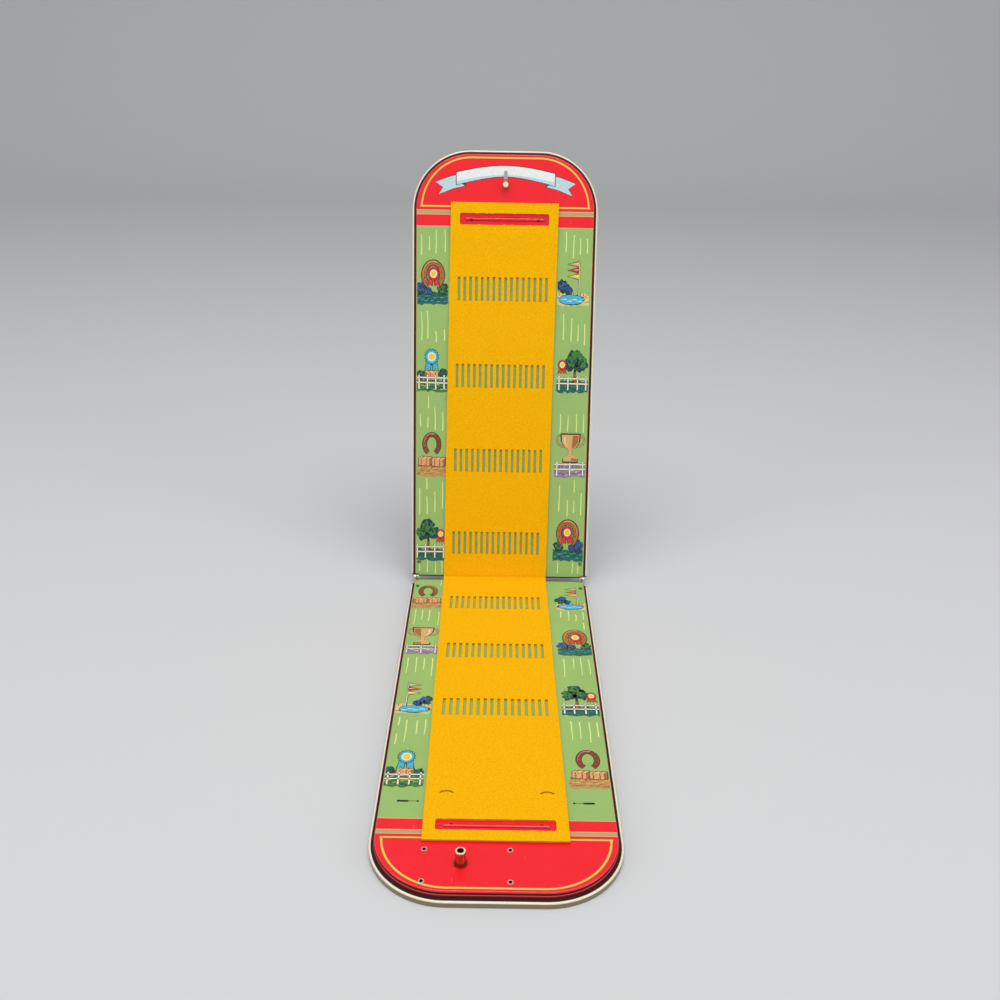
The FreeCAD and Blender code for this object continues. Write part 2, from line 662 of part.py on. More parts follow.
def build_bar(label, side):
    middle = side_of(side, "bar_reach")
    flat = box_at(f"{label}_strip", "0 - bar_half_length", "bar_half_length",
                  f"{middle} - bar_width / 2", f"{middle} + bar_width / 2", BAR_LOW, BAR_TOP)
    skin = []
    hollow = []
    for kind, radius in ((skin, "rib_radius"), (hollow, "rib_radius - bar_tin")):
        end = "rib_half_length - rib_radius"
        stem = f"{label}_{'rib' if kind is skin else 'hollow'}"
        kind.append(cross_rod_at(stem, f"0 - ({end})", end, middle, BAR_LOW, radius))
        kind.append(ball_at(f"{stem}_left", f"0 - ({end})", middle, BAR_LOW, radius))
        kind.append(ball_at(f"{stem}_right", end, middle, BAR_LOW, radius))
    below = box_at(f"{label}_below", "0 - bar_half_length", "bar_half_length",
                   f"{middle} - bar_width / 2", f"{middle} + bar_width / 2",
                   f"{BAR_LOW} - rib_radius", BAR_LOW)
    holes = []
    for sign, word in (("0 - ", "left"), ("", "right")):
        holes.append(rod_at(f"{label}_hole_{word}", f"{sign}rib_hole_offset",
                            f"{middle} - {side} * rib_radius * 0.7", BAR_LOW,
                            f"{BAR_TOP} + rib_radius", "rib_hole_radius"))
    pressed = cut(f"{label}_pressed", join(f"{label}_solid", [flat] + skin),
                  hollow + [below] + holes)
    tabs = []
    low = f"{middle} - tab_width / 2"
    high = f"{middle} + tab_width / 2"
    under = f"{SLIDE_LOW} - bar_tin"
    for sign, word in ((-1, "left"), (1, "right")):
        leg = (f"{sign} * {TAB_INSIDE}", f"{sign} * bar_half_length")
        foot = (f"{sign} * (bar_half_length - tab_clinch)", f"{sign} * bar_half_length")
        left, right = sorted(leg, key=number)
        tabs.append(box_at(f"{label}_leg_{word}", left, right, low, high, under, BAR_LOW))
        left, right = sorted(foot, key=number)
        tabs.append(box_at(f"{label}_clinch_{word}", left, right, low, high, under, SLIDE_LOW))
    bar = join(f"{label}_bar", [pressed] + tabs)
    PARTS.append(finish_part(bar, label, side))


build_bar("start_mat_bar", START)
build_bar("finish_mat_bar", FINISH)


# Slides under the halves: the tabs of the mat bars are clinched through their cross bars

def cross_bar(label, side):
    middle = side_of(side, "bar_reach")
    bar = box_at(f"{label}_cross", "0 - slide_half_length", "slide_half_length",
                 f"{middle} - slide_width / 2", f"{middle} + slide_width / 2",
                 SLIDE_LOW, SLIDE_TOP)
    slots = []
    for sign, word in ((-1, "left"), (1, "right")):
        leg = (f"{sign} * ({TAB_INSIDE} - shaft_gap)",
               f"{sign} * (bar_half_length + shaft_gap)")
        left, right = sorted(leg, key=number)
        slots.append(box_at(f"{label}_slot_{word}", left, right,
                            f"{middle} - tab_width / 2 - shaft_gap",
                            f"{middle} + tab_width / 2 + shaft_gap", SLIDE_LOW, SLIDE_TOP))
    return bar, slots


shaker_cross, shaker_slots = cross_bar("shaker", START)
stem_end = f"0 - {FOLLOWER_FACE} - follower_tin"
shaker_stem = box_at("shaker_stem", "0 - crank_offset - stem_half_width",
                     "0 - crank_offset + stem_half_width", stem_end,
                     "0 - bar_reach", SLIDE_LOW, SLIDE_TOP)
shaker_tongue = box_at("shaker_tongue", "0 - crank_offset - follower_width / 2",
                       "0 - crank_offset + follower_width / 2", stem_end,
                       f"0 - {FOLLOWER_FACE}", f"{STAR_LOW} - follower_gap", SLIDE_LOW)
clear = "(bush_radius + travel_gap)"
shaft_slot = box_at("shaker_shaft_slot", f"0 - crank_offset - {clear}",
                    f"0 - crank_offset + {clear}", f"0 - crank_reach - {clear} - shake_travel",
                    f"0 - crank_reach + {clear}", SLIDE_LOW, SLIDE_TOP)
shaker_body = join("shaker_body", [shaker_cross, shaker_stem, shaker_tongue])
shaker = cut("shaker_cut", shaker_body, shaker_slots + [shaft_slot])
PARTS.append(finish_part(shaker, "shaker_slide", START))

tension_cross, tension_slots = cross_bar("tension", FINISH)
tail_end = "thumb_reach + tail_half_width"
tension_tail = box_at("tension_tail", "0 - tail_half_width", "tail_half_width",
                      "bar_reach", tail_end, SLIDE_LOW, SLIDE_TOP)
HOOK_NEAR = "(bar_reach + slide_width / 2 - hook_tin)"
HOOK_FAR = "(bar_reach + slide_width / 2)"
HOOK_LOW = f"({SPRING_Z} - spring_radius)"
spring_hook = box_at("tension_hook", "0 - spring_offset - hook_width / 2",
                     "0 - spring_offset + hook_width / 2", HOOK_NEAR, HOOK_FAR,
                     HOOK_LOW, SLIDE_LOW)
WIRE_HOLE = "(spring_wire + shaft_gap)"


def along_rod_at(name, near, far, radius):
    """A rod along Y on the middle line of the tension spring."""
    rod = DOC.addObject("Part::Cylinder", name)
    rod.Placement = FreeCAD.Placement(FreeCAD.Vector(), FreeCAD.Rotation(ALONG_X, -90))
    bind(rod, "Radius", radius)
    bind(rod, "Height", f"({far}) - ({near})")
    bind(rod, "Placement.Base.x", "0 - spring_offset")
    bind(rod, "Placement.Base.y", near)
    bind(rod, "Placement.Base.z", SPRING_Z)
    return rod


hook_hole = along_rod_at("tension_hook_hole", HOOK_NEAR, HOOK_FAR, WIRE_HOLE)
neck_hole = rod_at("tension_neck_hole", "0", "thumb_reach", SLIDE_LOW, SLIDE_TOP, "thumb_neck")
tension_body = join("tension_body", [tension_cross, tension_tail, spring_hook])
tension = cut("tension_cut", tension_body, tension_slots + [hook_hole, neck_hole])
PARTS.append(finish_part(tension, "tension_slide", FINISH))

# Anchor under the finish half, where the spring's far end is held
anchor_plate = box_at("anchor_plate", "0 - spring_offset - hook_width / 2",
                      "0 - spring_offset + hook_width / 2", "anchor_reach - hook_width",
                      "anchor_reach + hook_tin", f"{UNDERSIDE} - hook_tin", UNDERSIDE)
anchor_leg = box_at("anchor_leg", "0 - spring_offset - hook_width / 2",
                    "0 - spring_offset + hook_width / 2", "anchor_reach",
                    "anchor_reach + hook_tin", HOOK_LOW, f"{UNDERSIDE} - hook_tin")
anchor_hole = along_rod_at("anchor_hole", "anchor_reach", "anchor_reach + hook_tin", WIRE_HOLE)
anchor = cut("anchor_cut", join("anchor_body", [anchor_plate, anchor_leg]), [anchor_hole])
PARTS.append(finish_part(anchor, "spring_anchor", FINISH))


# Tension spring: an open coil whose ends run to its middle line, through the holes of the
# hook and the anchor, and are bent over behind them
COIL_SPAN = "(spring_pitch * spring_turns)"
COIL_NEAR = f"(({HOOK_FAR} + anchor_reach - slack_travel - {COIL_SPAN}) / 2)"
COIL_FAR = f"({COIL_NEAR} + {COIL_SPAN})"
COIL_SIDE = "0 - spring_offset + spring_radius"
coil_line = DOC.addObject("Part::Helix", "spring_line")
coil_line.Placement = FreeCAD.Placement(FreeCAD.Vector(), FreeCAD.Rotation(ALONG_X, -90))
bind(coil_line, "Pitch", "spring_pitch")
bind(coil_line, "Height", COIL_SPAN)
bind(coil_line, "Radius", "spring_radius")
bind(coil_line, "Placement.Base.x", "0 - spring_offset")
bind(coil_line, "Placement.Base.y", COIL_NEAR)
bind(coil_line, "Placement.Base.z", SPRING_Z)
wire_ring = DOC.addObject("Part::RegularPolygon", "spring_ring")
wire_ring.Polygon = 6
bind(wire_ring, "Circumradius", "spring_wire")
bind(wire_ring, "Placement.Base.x", COIL_SIDE)
bind(wire_ring, "Placement.Base.y", COIL_NEAR)
bind(wire_ring, "Placement.Base.z", SPRING_Z)
DOC.recompute()
coil = DOC.addObject("Part::Sweep", "spring_coil")
coil.Sections = [wire_ring]
coil.Spine = (coil_line, [f"Edge{index + 1}" for index in range(len(coil_line.Shape.Edges))])
coil.Solid = True
coil.Frenet = True


def spring_end(word, coil_y, bend_y):
    """From the coil in to the middle line, along it through a plate, and bent down."""
    low, high = sorted((coil_y, bend_y), key=number)
    arm = cross_rod_at(f"spring_arm_{word}", "0 - spring_offset", COIL_SIDE, coil_y, SPRING_Z,
                       "spring_wire")
    bead = ball_at(f"spring_bead_{word}", COIL_SIDE, coil_y, SPRING_Z, "spring_wire")
    turn = ball_at(f"spring_turn_{word}", "0 - spring_offset", coil_y, SPRING_Z, "spring_wire")
    bend = ball_at(f"spring_bend_{word}", "0 - spring_offset", bend_y, SPRING_Z, "spring_wire")
    leg = rod_at(f"spring_leg_{word}", "0 - spring_offset", bend_y,
                 f"{SPRING_Z} - spring_radius", SPRING_Z, "spring_wire")
    return [arm, bead, turn, bend, leg, along_rod_at(f"spring_run_{word}", low, high,
                                                     "spring_wire")]


spring = join("spring_wire_joined", [
    coil, *spring_end("hook", COIL_NEAR, f"{HOOK_NEAR} - spring_wire"),
    *spring_end("anchor", COIL_FAR, "anchor_reach + hook_tin + spring_wire + shaft_gap")])
PARTS.append(finish_part(spring, "tension_spring", FINISH))

# Thumb post: a domed brass knob on a neck that runs in the slot, headed over under its slide
knob_low = f"{DECK} + slot_lip_rise + slide_gap"
thumb = new_body("thumb_post", FINISH)
knob = sketch_on(thumb, "thumb_profile", "0", role="YZ_Plane")
knob_top = f"{DECK} + thumb_rise"
draw_polygon(knob, (("thumb_reach", f"{SLIDE_LOW} - eyelet_rim * 2"),
                    ("thumb_reach + thumb_radius * 0.8", f"{SLIDE_LOW} - eyelet_rim * 2"),
                    ("thumb_reach + thumb_radius * 0.8", SLIDE_LOW),
                    ("thumb_reach + thumb_neck", SLIDE_LOW),
                    ("thumb_reach + thumb_neck", knob_low),
                    ("thumb_reach + thumb_radius", knob_low),
                    ("thumb_reach + thumb_radius", f"{knob_top} - fold_radius"),
                    ("thumb_reach + thumb_radius - fold_radius", knob_top),
                    ("thumb_reach", knob_top)))
axis_line = knob.addGeometry(Part.LineSegment(
    FreeCAD.Vector(number("thumb_reach"), number(SLIDE_LOW), 0),
    FreeCAD.Vector(number("thumb_reach"), number(DECK), 0)), True)
knob.addConstraint(Sketcher.Constraint("Vertical", axis_line))
pin(knob, axis_line, 1, "DistanceX", "thumb_reach")
turned = thumb.newObject("PartDesign::Revolution", "thumb_turned")
turned.Profile = knob
turned.ReferenceAxis = (knob, ["Axis0"])
turned.Angle = 360
DOC.recompute()
PARTS.append(thumb)

# Crank post: a brass shaft with a lipped socket for the crank and a lower journal
post = new_body("crank_post", START)
post_plan = sketch_on_shaft(post, "post_plan", f"{BRIDGE_TOP} + slide_gap")
draw_circle(post_plan, "0", "0", "post_radius")
pad(post, post_plan, f"{DECK} + post_height - {BRIDGE_TOP} - slide_gap")
lip_plan = sketch_on_shaft(post, "post_lip_plan", f"{DECK} + post_height - bush_height")
draw_circle(lip_plan, "0", "0", "post_radius + post_lip")
rolled = pad(post, lip_plan, "bush_height")
lip_edges = [f"Edge{index}" for index, edge in enumerate(rolled.Shape.Edges, start=1)
             if edge.BoundBox.ZMin > number(f"{DECK} + post_height") - 1e-4]
lip_bevel = post.newObject("PartDesign::Chamfer", "post_lip_bevel")
lip_bevel.Base = (rolled, lip_edges)
bind(lip_bevel, "Size", "bush_height * 0.3")
DOC.recompute()
socket = sketch_on_shaft(post, "post_socket", f"{DECK} + post_height")
draw_circle(socket, "0", "0", "socket_radius")
pocket(post, socket, "socket_depth")
journal = sketch_on_shaft(post, "post_journal", f"{BRIDGE_TOP} + slide_gap")
draw_circle(journal, "0", "0", "journal_radius")
pad(post, journal, "slide_tin + slide_gap * 2 + strap_tin", reverse=True)
headed = sketch_on_shaft(post, "post_headed", f"{BRIDGE_LOW} - slide_gap - strap_tin")
draw_circle(headed, "0", "0", "post_radius - strap_tin / 2")
pad(post, headed, "strap_tin / 2", reverse=True)
PARTS.append(post)

# Bush of the crank shaft in the playing face
bush_outer = rod_at("bush_flange_disc", "0 - crank_offset", "0 - crank_reach", DECK,
                    f"{DECK} + bush_height", "bush_flange")
bush_sleeve = rod_at("bush_sleeve_rod", "0 - crank_offset", "0 - crank_reach",
                     f"{SLIDE_LOW} - slide_gap", DECK, "bush_radius")
bush_bore = rod_at("bush_bore", "0 - crank_offset", "0 - crank_reach",
                   f"{SLIDE_LOW} - slide_gap", f"{DECK} + bush_height",
                   "post_radius + shaft_gap")
bush = cut("bush_cut", join("bush_body", [bush_outer, bush_sleeve]), [bush_bore])
PARTS.append(finish_part(bush, "crank_bush", START))

# Star wheel: round notches cut into a disc, so that the points between them lift the follower
star = new_body("star_wheel", START)
disc = sketch_on_shaft(star, "star_disc", STAR_LOW)
draw_circle(disc, "0", "0", "star_radius")
draw_circle(disc, "0", "0", "post_radius")
pad(star, disc, "star_thickness")
notch = sketch_on_shaft(star, "star_notch", STAR_LOW)
draw_circle(notch, "0", "0 - star_radius + notch_depth - notch_radius", "notch_radius")
first_notch = pocket(star, notch, "star_thickness", reverse=True)
wheel = star.newObject("PartDesign::PolarPattern", "star_notches")
wheel.Originals = [first_notch]
wheel.Axis = (disc, ["N_Axis"])
wheel.Angle = 360
bind(wheel, "Occurrences", "star_points")
star.Tip = wheel
DOC.recompute()
PARTS.append(star)

# Washer under the bridge, held by the headed end of the shaft
washer_disc = rod_at("washer_disc", "0 - crank_offset", "0 - crank_reach",
                     f"{BRIDGE_LOW} - slide_gap - strap_tin", f"{BRIDGE_LOW} - slide_gap",
                     "post_radius + post_lip * 5")
washer_hole = rod_at("washer_hole", "0 - crank_offset", "0 - crank_reach",
                     f"{BRIDGE_LOW} - slide_gap - strap_tin", f"{BRIDGE_LOW} - slide_gap",
                     "journal_radius")
washer = cut("washer_cut", washer_disc, [washer_hole])
PARTS.append(finish_part(washer, "crank_washer", START))

# Bridge under the start half: two riveted feet, two legs and a floor with the lower bearing
bridge_low_y = "0 - bridge_far - bridge_foot"
bridge_high_y = "0 - bridge_near + bridge_foot"
feet = []
for word, leg_left, leg_right, foot_left, foot_right in (
        ("left", "0 - bridge_left + bridge_foot", "0 - bridge_left + bridge_foot + slide_tin",
         "0 - bridge_left - bridge_foot", "0 - bridge_left + bridge_foot"),
        ("right", "bridge_right - bridge_foot - slide_tin", "bridge_right - bridge_foot",
         "bridge_right - bridge_foot", "bridge_right + bridge_foot")):
    feet.append(box_at(f"bridge_foot_{word}", foot_left, foot_right, bridge_low_y,
                       bridge_high_y, f"{UNDERSIDE} - slide_tin", UNDERSIDE))
    feet.append(box_at(f"bridge_leg_{word}", leg_left, leg_right, bridge_low_y,
                       bridge_high_y, BRIDGE_LOW, UNDERSIDE))
bridge_plate = box_at("bridge_plate", "0 - bridge_left + bridge_foot",
                      "bridge_right - bridge_foot", bridge_low_y, bridge_high_y,
                      BRIDGE_LOW, BRIDGE_TOP)
bridge_holes = [rod_at("bridge_bearing", "0 - crank_offset", "0 - crank_reach", BRIDGE_LOW,
                       BRIDGE_TOP, "journal_radius + shaft_gap")]
for word_x, eyelet_x in (("left", "0 - bridge_left"), ("right", "bridge_right")):
    for word_y, eyelet_y in (("near", "0 - bridge_near"), ("far", "0 - bridge_far")):
        bridge_holes.append(rod_at(f"bridge_hole_{word_x}_{word_y}", eyelet_x, eyelet_y,
                                   f"{UNDERSIDE} - slide_tin", UNDERSIDE, "eyelet_radius"))
bridge = cut("bridge_cut", join("bridge_body", feet + [bridge_plate]), bridge_holes)
PARTS.append(finish_part(bridge, "gear_bridge", START))

# Eyelets that hold the bridge, their flanges showing on the playing face
eyelets = []
for word_x, eyelet_x in (("left", "0 - bridge_left"), ("right", "bridge_right")):
    for word_y, eyelet_y in (("near", "0 - bridge_near"), ("far", "0 - bridge_far")):
        stem = f"eyelet_{word_x}_{word_y}"
        foot_low = f"{UNDERSIDE} - slide_tin"
        solid = join(f"{stem}_solid", [
            rod_at(f"{stem}_head", eyelet_x, eyelet_y, DECK, f"{DECK} + eyelet_rim",
                   "eyelet_flange"),
            rod_at(f"{stem}_barrel", eyelet_x, eyelet_y, foot_low, DECK, "eyelet_radius"),
            rod_at(f"{stem}_flare", eyelet_x, eyelet_y, f"{foot_low} - eyelet_rim", foot_low,
                   "eyelet_flange")])
        bore = rod_at(f"{stem}_bore", eyelet_x, eyelet_y, f"{foot_low} - eyelet_rim",
                      f"{DECK} + eyelet_rim", "eyelet_hole")
        eyelets.append(cut(f"{stem}_cut", solid, [bore]))
PARTS.append(finish_part(group("eyelet_group", eyelets), "bridge_eyelets", START))


# Hinge straps: a riveted leaf with a lug bent up to a round eye on the pivot axis

def build_strap(label, half, hand, eye_face):
    """A strap on the left (hand -1) or the right (hand 1) of one half."""
    sign = "0 - " if hand < 0 else ""
    eye_in = f"{hand} * ({eye_face} - strap_tin)"
    eye_out = f"{hand} * {eye_face}"
    leaf_in = f"{hand} * (strap_rivet_offset - strap_width / 2)"
    left, right = sorted((leaf_in, eye_out), key=number)
    near = side_of(half, "pivot_gap + tin + slide_gap")
    far = side_of(half, "strap_length")
    low, high = sorted((near, far), key=number)
    leaf = box_at(f"{label}_leaf", left, right, low, high, STRAP_LOW, STRAP_TOP)
    hole = rod_at(f"{label}_hole", f"{sign}strap_rivet_offset",
                  side_of(half, "strap_rivet_reach"), STRAP_LOW, STRAP_TOP, "rivet_radius")
    left, right = sorted((eye_in, eye_out), key=number)
    eye = cross_rod_at(f"{label}_eye", left, right, "0", "0", "eye_radius")
    low, high = sorted((side_of(half, "0"), side_of(half, "eye_radius * 2.2")), key=number)
    lug = box_at(f"{label}_lug", left, right, low, high, STRAP_LOW, "0")
    bore = cross_rod_at(f"{label}_bore", left, right, "0", "0", "pivot_radius + shaft_gap")
    relief = box_at(f"{label}_relief", left, right,
                    *sorted((side_of(half, "eye_radius"), side_of(half, "strap_length")),
                            key=number), UNDERSIDE, "pivot_rise")
    strap = cut(f"{label}_cut", join(f"{label}_body", [
        leaf, cut(f"{label}_lug_cut", join(f"{label}_lug_body", [eye, lug]), [relief])]),
        [hole, bore])
    PARTS.append(finish_part(strap, label, half))


build_strap("start_strap_left", START, -1, OUTER_EYE)
build_strap("start_strap_right", START, 1, OUTER_EYE)
build_strap("finish_strap_left", FINISH, -1, INNER_EYE)
build_strap("finish_strap_right", FINISH, 1, INNER_EYE)


# Pivot rivets through the two eyes of each hinge, their round heads showing at the sides

def build_pivots():
    rivets = []
    for hand, word in ((-1, "left"), (1, "right")):
        ends = (f"{hand} * ({INNER_EYE} - strap_tin - slide_gap)",
                f"{hand} * ({OUTER_EYE} + slide_gap)")
        left, right = sorted(ends, key=number)
        shank = cross_rod_at(f"pivot_shank_{word}", left, right, "0", "0", "pivot_radius")
        ends = (f"{hand} * ({OUTER_EYE} + slide_gap)",
                f"{hand} * ({OUTER_EYE} + slide_gap + pivot_head_rise)")
        left, right = sorted(ends, key=number)
        head = cross_rod_at(f"pivot_head_{word}", left, right, "0", "0", "pivot_head")
        ends = (f"{hand} * ({INNER_EYE} - strap_tin - slide_gap - rivet_rise)",
                f"{hand} * ({INNER_EYE} - strap_tin - slide_gap)")
        left, right = sorted(ends, key=number)
        tail = cross_rod_at(f"pivot_tail_{word}", left, right, "0", "0",
                            "pivot_radius + travel_gap")
        rivets.append(join(f"pivot_{word}", [shank, head, tail]))
    PARTS.append(finish_part(group("pivot_group", rivets), "hinge_pivots", START))


build_pivots()


# Rivets that hold the hinge straps, with a round head on the playing face

def build_strap_rivets(label, half):
    rivets = []
    for sign, word in (("0 - ", "left"), ("", "right")):
        spot = (f"{sign}strap_rivet_offset", side_of(half, "strap_rivet_reach"))
        shank = rod_at(f"{label}_shank_{word}", *spot, STRAP_LOW, DECK, "rivet_radius")
        head = rod_at(f"{label}_head_{word}", *spot, DECK, f"{DECK} + rivet_rise", "rivet_head")
        tail = rod_at(f"{label}_tail_{word}", *spot, f"{STRAP_LOW} - rivet_rise", STRAP_LOW,
                      "rivet_head")
        rivets.append(join(f"{label}_{word}", [shank, head, tail]))
    PARTS.append(finish_part(group(f"{label}_group", rivets), label, half))


build_strap_rivets("start_strap_rivets", START)
build_strap_rivets("finish_strap_rivets", FINISH)

# Check the document and write one file for each sub-part
DOC.recompute()
for thing in DOC.Objects:
    if "Invalid" in thing.State or "Error" in thing.State:
        raise ValueError(f"{thing.Label} failed: {thing.State}")
os.makedirs("parts", exist_ok=True)
for thing in PARTS:
    if thing.Shape.isNull() or not thing.Shape.isValid():
        raise ValueError(f"{thing.Label} has no valid shape")
    thing.Shape.exportStep(f"parts/{thing.Label}.step")
    print(f"{thing.Label}: {len(thing.Shape.Solids)} solids, {thing.Shape.Volume:.1f} mm3")
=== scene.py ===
import math
import random
from functools import reduce

import bmesh
import bpy
from mathutils import Matrix, Vector


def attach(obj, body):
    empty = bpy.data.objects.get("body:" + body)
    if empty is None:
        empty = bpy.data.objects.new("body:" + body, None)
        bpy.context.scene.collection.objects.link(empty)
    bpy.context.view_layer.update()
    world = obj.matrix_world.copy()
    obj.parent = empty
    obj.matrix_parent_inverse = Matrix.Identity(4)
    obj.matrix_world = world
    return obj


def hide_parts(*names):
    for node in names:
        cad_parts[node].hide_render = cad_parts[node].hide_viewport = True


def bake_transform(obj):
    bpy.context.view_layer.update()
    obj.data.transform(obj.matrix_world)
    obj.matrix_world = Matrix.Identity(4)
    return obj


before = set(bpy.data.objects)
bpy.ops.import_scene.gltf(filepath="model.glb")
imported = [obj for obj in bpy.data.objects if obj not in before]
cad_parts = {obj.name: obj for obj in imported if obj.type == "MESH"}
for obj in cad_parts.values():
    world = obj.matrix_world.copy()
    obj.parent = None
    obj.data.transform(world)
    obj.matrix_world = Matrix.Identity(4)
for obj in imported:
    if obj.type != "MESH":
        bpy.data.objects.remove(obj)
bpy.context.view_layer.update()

scene = bpy.context.scene
scene.view_settings.view_transform = "Standard"

# Camera
# Stands a little to the left of the board's middle line, in front of and above the start
# end, and looks down along the board.
camera = bpy.data.objects.new("camera", bpy.data.cameras.new("camera"))
scene.collection.objects.link(camera)
scene.camera = camera
camera.data.sensor_width = 36.0
camera.data.lens = 37.16
camera.data.clip_start = 0.01
pitch = math.radians(25.12)
yaw = math.radians(0.16)
roll = math.radians(0.99)
turn = (Matrix.Rotation(-yaw, 3, "Z") @ Matrix.Rotation(math.pi / 2 - pitch, 3, "X")
        @ Matrix.Rotation(roll, 3, "Z"))
camera.matrix_world = Matrix.Translation((-0.00263, -0.6550, 0.4504)) @ turn.to_4x4()


# Studio
# A pale table top that runs up behind the board, with a broad soft lamp overhead, a weaker
# one on each side and an even sky.
def new_material(name):
    material = bpy.data.materials.new(name)
    material.use_nodes = True
    return material, material.node_tree, material.node_tree.nodes["Principled BSDF"]


def feed(tree, node, values):
    """Set numbers and colours on a node's inputs, or wire other nodes' outputs into them."""
    for title, value in values.items():
        socket = node.inputs[title]
        if isinstance(value, bpy.types.NodeSocket):
            tree.links.new(value, socket)
        elif isinstance(value, tuple):
            socket.default_value = (*value, 1.0)
        else:
            socket.default_value = value


def plain_material(name, colour, roughness):
    material, tree, shader = new_material(name)
    feed(tree, shader, {"Base Color": colour, "Roughness": roughness})
    return material


def new_piece(name, shape, material):
    """Make an object of one material from a drawn shape."""
    mesh = bpy.data.meshes.new(name)
    shape.to_mesh(mesh)
    shape.free()
    mesh.materials.append(material)
    piece = bpy.data.objects.new(name, mesh)
    scene.collection.objects.link(piece)
    return piece


def stand_backdrop():
    """A floor that bends up into a wall, well behind the board."""
    floor_end, bend = 2.2, 0.8
    shape = bmesh.new()
    bmesh.ops.create_grid(shape, x_segments=1, y_segments=1, size=3.0)
    bmesh.ops.translate(shape, verts=shape.verts, vec=(0.0, floor_end - 3.0, 0.0))
    edges = [edge for edge in shape.edges
             if all(vertex.co.y > floor_end - 0.1 for vertex in edge.verts)]
    for step in range(1, 13):
        angle = math.radians(7.5 * step)
        grown = bmesh.ops.extrude_edge_only(shape, edges=edges)["geom"]
        edges = [item for item in grown if isinstance(item, bmesh.types.BMEdge)]
        for vertex in {vertex for edge in edges for vertex in edge.verts}:
            vertex.co.y = floor_end + bend * math.sin(angle)
            vertex.co.z = bend * (1.0 - math.cos(angle))
    grown = bmesh.ops.extrude_edge_only(shape, edges=edges)["geom"]
    top = [item for item in grown if isinstance(item, bmesh.types.BMVert)]
    bmesh.ops.translate(shape, verts=top, vec=(0.0, 0.0, 3.0))
    bmesh.ops.recalc_face_normals(shape, faces=shape.faces)
    for face in shape.faces:
        face.smooth = True
    table = new_piece("table_top", shape, plain_material("pale_table", (0.66, 0.67, 0.68), 0.9))


def hang_lamp(name, place, target, size, watts):
    lamp = bpy.data.lights.new(name, "AREA")
    lamp.shape = "RECTANGLE"
    lamp.size, lamp.size_y = size
    lamp.energy = watts
    holder = bpy.data.objects.new(name, lamp)
    scene.collection.objects.link(holder)
    holder.location = place
    aim = Vector(target) - Vector(place)
    holder.rotation_euler = aim.to_track_quat("-Z", "Y").to_euler()


stand_backdrop()
hang_lamp("lamp_overhead", (0.0, -0.35, 1.9), (0.0, 0.0, 0.1), (1.6, 1.0), 19.0)
for name, x in (("lamp_left", -1.7), ("lamp_right", 1.7)):
    hang_lamp(name, (x, -0.9, 1.0), (0.0, 0.0, 0.15), (0.8, 1.4), 6.0)
world = bpy.data.worlds.new("sky")
scene.world = world
world.use_nodes = True
feed(world.node_tree, world.node_tree.nodes["Background"],
     {"Color": (1.0, 1.0, 1.0), "Strength": 0.46})


# Printed tin halves
# Two drawn tinplate halves, printed in red, green and olive before they were pressed, then
# varnished. Each has a raised playing face, a narrow step, a dark gutter and a cream rim.
# The middle of the pivot axis is in metres. The sizes of a half are in millimetres, and the
# heights of its face and of the step's middle are counted from that axis.
PIVOT = (0.0, 0.124829, 0.0104)
LIFT = math.radians(74.35)
MILLIMETRE = 0.001
HALF_WIDTH = 76.2
HALF_LENGTH = 355.6
FAR_CORNER = 47.7
DECK = -1.8
STEP_HEIGHT = DECK - 0.9


def linear(red, green, blue):
    """A colour given as eight-bit values, as the shaders want it."""
    return tuple(value / 12.92 / 255 if value <= 10 else ((value / 255 + 0.055) / 1.055) ** 2.4
                 for value in (red, green, blue))


def calc(tree, operation, *values):
    node = tree.nodes.new("ShaderNodeMath")
    node.operation = operation
    feed(tree, node, dict(enumerate(values)))
    return node.outputs[0]


def axes(tree, place):
    node = tree.nodes.new("ShaderNodeSeparateXYZ")
    tree.links.new(place, node.inputs[0])
    return node.outputs["X"], node.outputs["Y"], node.outputs["Z"]


def stretch(tree, place, scale, turned=0.0):
    """Squeeze or draw out a pattern along its axes, turned by an angle."""
    node = tree.nodes.new("ShaderNodeMapping")
    tree.links.new(place, node.inputs["Vector"])
    node.inputs["Scale"].default_value = scale
    node.inputs["Rotation"].default_value = (0.0, 0.0, turned)
    return node.outputs[0]


def shaded(tree, colour, shade):
    node = tree.nodes.new("ShaderNodeVectorMath")
    node.operation = "SCALE"
    feed(tree, node, {0: colour, "Scale": shade})
    return node.outputs[0]


def rise(tree, value, edge, soft):
    """0 below an edge and 1 above it, with a soft step between."""
    node = tree.nodes.new("ShaderNodeMapRange")
    node.interpolation_type = "SMOOTHSTEP"
    feed(tree, node, {"Value": value, "From Min": edge - soft, "From Max": edge + soft})
    return node.outputs["Result"]


def without(tree, mask):
    return calc(tree, "SUBTRACT", 1.0, mask)


def below(tree, value, edge, soft=0.02):
    return without(tree, rise(tree, value, edge, soft))


def both(tree, *masks):
    return reduce(lambda first, second: calc(tree, "MULTIPLY", first, second), masks)


def either(tree, *masks):
    return reduce(lambda first, second: calc(tree, "MAXIMUM", first, second), masks)


def band(tree, value, low, high, soft):
    return both(tree, rise(tree, value, low, soft), below(tree, value, high, soft))


def coat(tree, base, above, mask):
    """Lay one colour over another where the mask says."""
    node = tree.nodes.new("ShaderNodeMix")
    node.data_type = "RGBA"
    factor, first_colour, second_colour, mixed_colour = 0, 6, 7, 2
    feed(tree, node, {factor: mask, first_colour: base, second_colour: above})
    return node.outputs[mixed_colour]


def soiled(tree, colour, *layers):
    """Lay colours over another in turn, each by a share of its mask."""
    for above, mask, share in layers:
        colour = coat(tree, colour, above, calc(tree, "MULTIPLY", mask, share))
    return colour


